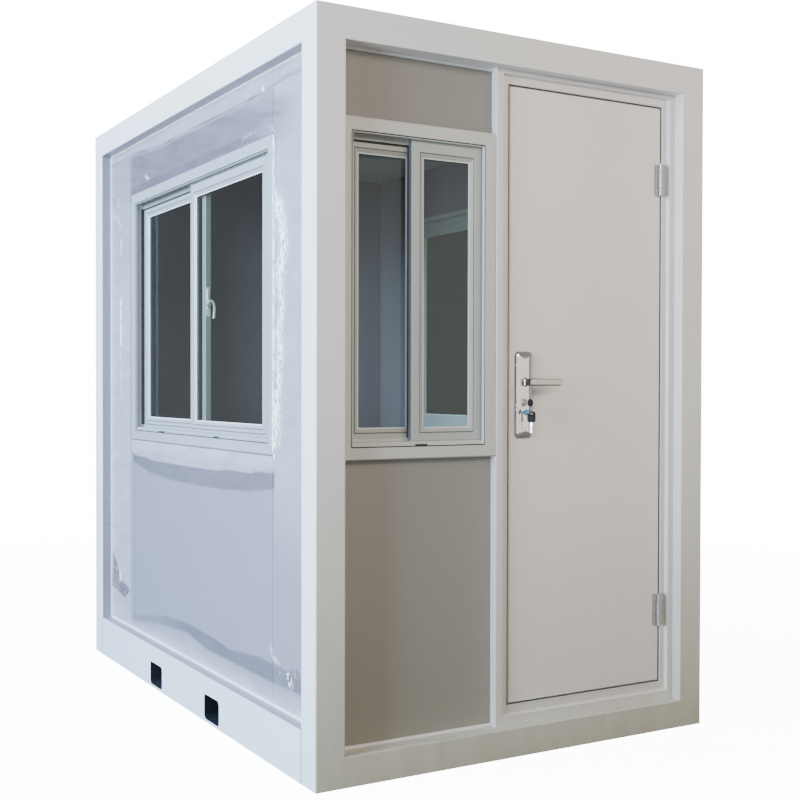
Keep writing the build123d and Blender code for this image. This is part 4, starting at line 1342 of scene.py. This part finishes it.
def film_finish():
    """Thin clear film: nearly invisible where it lies flat; milky where it bridges, partly its haze and partly painted
    sheen; darker where loose, partly painted shade; painted white glints along its crease lines.
    """
    f = Finish("clear_film", Roughness=0.3, IOR=1.2)
    marks = f.add("SeparateColor", Color=f.add("Attribute", attribute_name="film_marks").outputs["Color"])
    loose, milky, crease_glint = marks.outputs[0], marks.outputs[1], marks.outputs[2]
    # glints: painted white highlights along the film's crease lines
    glints = f.span(f.noise(0.013, 5, (1, 1, 0.55), 0.62), 0.40, 0.54)
    cloth = f.span(f.noise(0.05, 5, (1, 0.35, 1)), 0.3, 0.7, 0.6, 1.2)
    glint = f.calc(crease_glint, glints)
    # the loose film's dark tone is partly its haze and partly painted shade
    tone = f.blend(f.span(loose, 0.0, 0.3), (0.82, 0.82, 0.90), (0.12, 0.10, 0.12))
    f.set("Base Color", f.blend(glint, tone, (1.0, 1.0, 1.0)))
    veil = f.calc(f.calc(f.calc(milky, 0.36), f.calc(loose, 0.40), "ADD"), cloth)
    solid = f.calc(f.calc(veil, f.calc(glint, 0.9), "ADD"), 0.06, "ADD")
    f.set("Alpha", f.span(solid, 0.0, 1.0))
    f.bump(f.noise(0.018, 5, (1, 1, 0.5), 0.6), 0.0012, 0.35)
    return f.material


def waves(along, up, seed):
    """Smooth noise at each point."""
    return np.array([noise.noise((a, b, seed)) for a, b in zip(along, up)])


class FilmGrid:
    """The film's points in the wall's plane, with what each has from the lines that its zones follow."""

    def __init__(self):
        self.low, self.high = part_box("protective_film")
        window_low, window_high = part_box("left_window_frame")
        hole = (window_low.y - film_window_gap, window_high.y + film_window_gap,
                window_low.z - film_window_gap, window_high.z + film_window_gap)
        self.hole = hole
        self.columns = spaced((self.low.y, 0), (-0.84, coarse_grid), (hole[0] - coarse_grid, fine_grid),
                              (hole[0], window_edge_grid), (hole[1], coarse_grid), (self.high.y, coarse_grid))
        self.rows = spaced((self.low.z, 0), (0.36, end_grid), (hole[2], coarse_grid), (hole[3], coarse_grid),
                           (self.high.z, end_grid))
        self.y, self.z = (grid.ravel() for grid in np.meshgrid(self.columns, self.rows, indexing="ij"))
        self.lines = {name: level_of(self.y, line) for name, line in film_lines.items()}
        self.in_window = (self.y > hole[0]) * (self.y < hole[1])
        self.wobble = waves(self.y * 3.1, self.z * 3.1, 4.0)
        self.swell = waves(self.y * 9, self.z * 5, 1.5)
        self.ridges = 1 - 2 * np.abs(waves(self.y * 75, self.z * 48, 7.0))
        self.streaks = waves(self.y * 2.5 + self.z * 3, self.z * 55 - self.y * 9, 2.5)
        self.folds = np.maximum(inside(self.y, self.z, crumple_left), inside(self.y, self.z, crumple_right))


def bridges(g):
    """Where the film leaves the panels: up to the bay's lip, and beside, below and above the window."""
    y, z, low, high, hole = g.y, g.z, g.low, g.high, g.hole
    head, foot, flap = (g.lines[k] for k in ("head", "foot", "flap"))
    from_side = np.minimum(y - low.y, high.y - y)
    ramp = np.maximum.reduce([
        np.clip((z - head) / (high.z - head), 0, 1), np.clip((foot - z) / (foot - low.z), 0, 1),
        np.clip(1 - from_side / (0.05 + 0.03 * g.wobble), 0, 1)])
    across = np.clip(np.maximum(hole[0] - y, y - hole[1]), 0, None)
    beside = np.clip(1 - across / (0.03 + 0.01 * g.wobble), 0, 1) * (z > hole[2] - 0.05) * (z < hole[3] + 0.03)
    below = g.in_window * (z <= hole[2]) * np.clip((z - flap) / (hole[2] - flap), 0, 1)
    above = g.in_window * (z >= hole[3]) * np.clip(1 - (z - hole[3]) / 0.03, 0, 1)
    return ramp, beside, below, above


def under_window(g):
    """The strip under the window where the film hangs loose."""
    return g.in_window * step(g.lines["flap"], g.z - 0.004, g.z + 0.004) \
        * step(g.z, g.lines["flap_foot"] - 0.004, g.lines["flap_foot"] + 0.004)


def looseness_and_shade(g):
    """How dark the loose film is, partly its own haze and partly painted shade under it and along its edges: over and
    under the window, along the foot, in the crumples and at their edges.
    """
    y, z, top = g.y, g.z, g.hole[3]
    head, foot, foot_top, flap_foot = (g.lines[k] for k in ("head", "foot", "foot_top", "flap_foot"))
    rise = 0.2 * np.clip(y + 0.6, 0, 1)
    upper = step(head - 0.005 - z, 0.0, 0.01) * step(z, top - 0.05, top) * g.lines["upper_tone"] \
        * (1 - 0.75 * step(z, top + 0.06 + rise, top + 0.14 + rise))
    lower = step(foot_top - z, -0.003, 0.004) * step(z - foot, -0.003, 0.004) \
        * (0.45 * step(-y, -0.76, -0.7) + 0.55 * step(-y, -0.45, 0.1))
    zones = np.clip(np.maximum.reduce([under_window(g) * 0.5, upper * (0.64 + 0.35 * g.streaks), lower * 0.55,
                                       g.folds * 0.5]), 0, 1)
    # dark lines along the film's edges: painted shade where it leaves the wall
    head_line = np.exp(-((z - head) / 0.006) ** 2) * (0.25 + 0.2 * g.swell)
    foot_line = np.exp(-((z - foot_top) / 0.004) ** 2) * 0.35 * step(-y, -0.5, 0.2)
    flap_line = g.in_window * np.exp(-((z - flap_foot) / 0.004) ** 2) * 0.35
    return np.maximum.reduce([zones, head_line, foot_line, flap_line])


def milkiness_and_sheen(g, ramp, beside, below):
    """How milky the film is, partly its haze and partly painted sheen: where it bridges, in a band at its head, and in
    a strip down each side.
    """
    y, z, head = g.y, g.z, g.lines["head"]
    strips = np.maximum(step(-y, 0.715, 0.735) * 0.55 * step(z, 0.55, 0.95),
                        step(y, 0.74, 0.79) * (0.65 - 0.3 * step(z, 1.65, 1.8)))
    top_band = 0.5 * step(z, head - 0.012, head - 0.002) * (np.abs(y) < 0.95)
    return np.clip(np.maximum.reduce([ramp * 0.95, top_band, below * 0.4 + 0.55 * (below > 0), beside * 0.5,
                                      strips]), 0, 1)


def crease_glinting(g):
    """How white the painted glints along the film's crease lines are, and how far those lines stand up."""
    crease_glint, raised = np.zeros(g.y.shape), np.zeros(g.y.shape)
    for line, width, strength, stand in crease_glint_lines:
        near = np.exp(-(distance_to(g.y, g.z, line) / width) ** 2) * strength
        crease_glint = np.maximum(crease_glint, near)
        raised = np.maximum(raised, near * stand * (0.55 + 0.9 * np.clip(g.ridges, 0, 1)))
    # white speckles in the crumples: painted glints
    fold_glint_speckle = g.folds * np.clip(g.ridges - 0.55, 0, 1) * 0.9
    return np.clip(np.maximum(crease_glint, fold_glint_speckle), 0, 1), raised


def film_mesh(g, out, marks):
    """The film's faces round the window's hole, each point out from the wall and with its marks."""
    solid = new_solid()
    verts = [solid.verts.new((g.high.x - o, a, b)) for o, a, b in zip(out, g.y, g.z)]
    ys, zs, rows = g.columns, g.rows, len(g.rows)
    for i in range(len(ys) - 1):
        for j in range(rows - 1):
            my, mz = (ys[i] + ys[i + 1]) / 2, (zs[j] + zs[j + 1]) / 2
            if not (g.hole[0] < my < g.hole[1] and g.hole[2] < mz < g.hole[3]):
                a, b = i * rows + j, (i + 1) * rows + j
                solid.faces.new([verts[k] for k in (a, a + 1, b + 1, b)])
    mesh = as_mesh(solid, "wall_film")
    attribute = mesh.attributes.new("film_marks", "FLOAT_COLOR", "POINT")
    attribute.data.foreach_set("color", np.stack([*marks, np.ones(out.shape)], 1).astype(np.float32).ravel())
    solid = as_solid(mesh)
    bmesh.ops.delete(solid, geom=[v for v in solid.verts if not v.link_faces], context="VERTS")
    for face in solid.faces:
        face.smooth = True
        if face.normal.x > 0:
            face.normal_flip()
    return as_mesh(solid, "wall_film")


def dress_film():
    """The factory film, loose over the left wall: it bridges from the bay's lip and the window's edge to the panels."""
    g = FilmGrid()
    y, z, low, high, hole = g.y, g.z, g.low, g.high, g.hole
    ramp, beside, below, above = bridges(g)
    crease_glint, raised = crease_glinting(g)
    lift = film_lift * np.maximum.reduce([ramp, beside * 0.8, below, above * 0.6])
    edge = np.exp(-(np.clip(hole[0] - y, 0, None) / 0.003) ** 2) * (y <= hole[0] + 1e-6) \
        * (z > hole[2]) * (z < hole[3]) * 0.004
    sag = under_window(g) * 0.003 * np.sin(np.clip((z - g.lines["flap_foot"]) / 0.05, 0, 1) * math.pi)
    out = film_rest + lift + raised + edge + g.folds * 0.004 * np.clip(g.ridges, 0, 1) \
        + 0.0006 * np.clip(g.swell, 0, 1) + sag
    mesh = film_mesh(g, out, (looseness_and_shade(g), milkiness_and_sheen(g, ramp, beside, below), crease_glint))
    mesh.materials.append(film_finish())
    film = bpy.data.objects.new("wall_film", mesh)
    bpy.context.scene.collection.objects.link(film)
    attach(film, "booth")
    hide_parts("protective_film")


dress_film()

# ---- floor and lights ----
floor_glow, backdrop_glow, surround_glow, dim_glow = 12.0, 16.0, 0.28, 0.05
# a ray from the camera that has passed more see-through faces than this sees a dim room, not the bright stage:
# that is two panes, or one pane and the floor's faded rim
through_panes = 2.5
floor_fade = (1.6, 5.5)
front_middle, lock_side = (0.3, -1.1, 1.5), (0.6, -1.1, 1.3)
warm_light = (1.0, 0.865, 0.71)


def make_stage():
    """A plain pale floor that fades into the backdrop; it throws back only a little warm light."""
    f = Finish("studio_floor")
    path = f.add("LightPath")
    seen = f.calc(path.outputs["Is Camera Ray"],
                  f.span(path.outputs["Transparent Depth"], through_panes - 0.1, through_panes + 0.1, 1.0, 0.0))
    cloudy = f.blend(f.noise(3.0, 2), (0.88, 0.88, 0.87), (0.92, 0.92, 0.91))
    f.set("Base Color", f.blend(seen, (0.10, 0.09, 0.06), cloudy))
    f.set("Roughness", 0.9)
    f.set("Emission Color", (1.0, 1.0, 1.0, 1.0))
    f.set("Emission Strength", f.calc(seen, floor_glow))
    distance = f.add("VectorMath", operation="LENGTH")
    f.join(f.place, distance.inputs[0])
    clear = f.add("BsdfTransparent")
    faded = f.layered(f.shader, f.span(distance.outputs["Value"], *floor_fade), clear)
    f.join(faded.outputs[0], f.output.inputs[0])
    solid = new_solid()
    bmesh.ops.create_circle(solid, cap_ends=True, segments=96, radius=12.0)
    floor = bpy.data.objects.new("studio_floor", as_mesh(solid, "studio_floor"))
    floor.data.materials.append(f.material)
    floor.location.z = -0.0005
    bpy.context.scene.collection.objects.link(floor)


def area_light(name, place, target, size, power, colour, diffuse=True, glossy=True):
    """A rectangular light aimed at a target; it is never in view, and can light only dull or only shiny looks."""
    data = bpy.data.lights.new(name, "AREA")
    data.shape, data.size, data.size_y = "RECTANGLE", size[0], size[1]
    data.energy, data.color = power, colour
    light = bpy.data.objects.new(name, data)
    aim = (Vector(target) - Vector(place)).to_track_quat("-Z", "Y").to_matrix().to_4x4()
    light.matrix_world = Matrix.Translation(place) @ aim
    light.visible_camera, light.visible_diffuse, light.visible_glossy = False, diffuse, glossy
    bpy.context.scene.collection.objects.link(light)


def make_lights():
    """A broad cool key and a fill from the left, warm fills and a card in front, and a light behind."""
    area_light("key", (-6.5, 0.4, 3.6), (-0.8, 0.0, 1.2), (5.0, 3.5), 1900, (0.53, 0.735, 1.0))
    area_light("side_fill", (-5.2, -2.2, 1.6), lock_side, (1.3, 2.2), 370, (0.72, 0.84, 1.0))
    area_light("near_fill", (-0.7, -4.8, 3.2), (0.0, -1.1, 1.5), (2.5, 1.4), 63, warm_light)
    area_light("high_fill", (2.6, -4.6, 3.4), front_middle, (3.0, 1.3), 102, warm_light, glossy=False)
    area_light("lock_card", (1.2, -5.6, 1.3), lock_side, (11.0, 3.2), 105, (1.0, 0.97, 0.93), diffuse=False)
    area_light("back", (4.0, 5.5, 4.0), (0.2, 1.0, 1.2), (4.5, 3.5), 350, (0.98, 0.98, 1.0))


def make_surround():
    """A weak even surround that the camera sees as a bright backdrop, or as a dim room through two panes."""
    world = bpy.data.worlds.new("surround")
    world.use_nodes = True
    nodes, links = world.node_tree.nodes, world.node_tree.links
    nodes.clear()
    output, path = nodes.new("ShaderNodeOutputWorld"), nodes.new("ShaderNodeLightPath")
    through = nodes.new("ShaderNodeMath")
    through.operation = "GREATER_THAN"
    through.inputs[1].default_value = through_panes
    links.new(path.outputs["Transparent Depth"], through.inputs[0])

    def layer(colour, strength):
        """An even surround of one colour."""
        made = nodes.new("ShaderNodeBackground")
        made.inputs[0].default_value, made.inputs[1].default_value = (*colour, 1.0), strength
        return made.outputs[0]

    def mixed(factor, a, b):
        """One surround or the other."""
        made = nodes.new("ShaderNodeMixShader")
        for source, target in zip((factor, a, b), made.inputs):
            links.new(source, target)
        return made.outputs[0]

    seen = mixed(through.outputs[0], layer((1.0, 1.0, 1.0), backdrop_glow), layer((0.85, 0.95, 1.0), dim_glow))
    surround = layer((0.98, 0.98, 1.0), surround_glow)
    links.new(mixed(path.outputs["Is Camera Ray"], surround, seen), output.inputs[0])
    bpy.context.scene.world = world


make_stage()
make_lights()
make_surround()
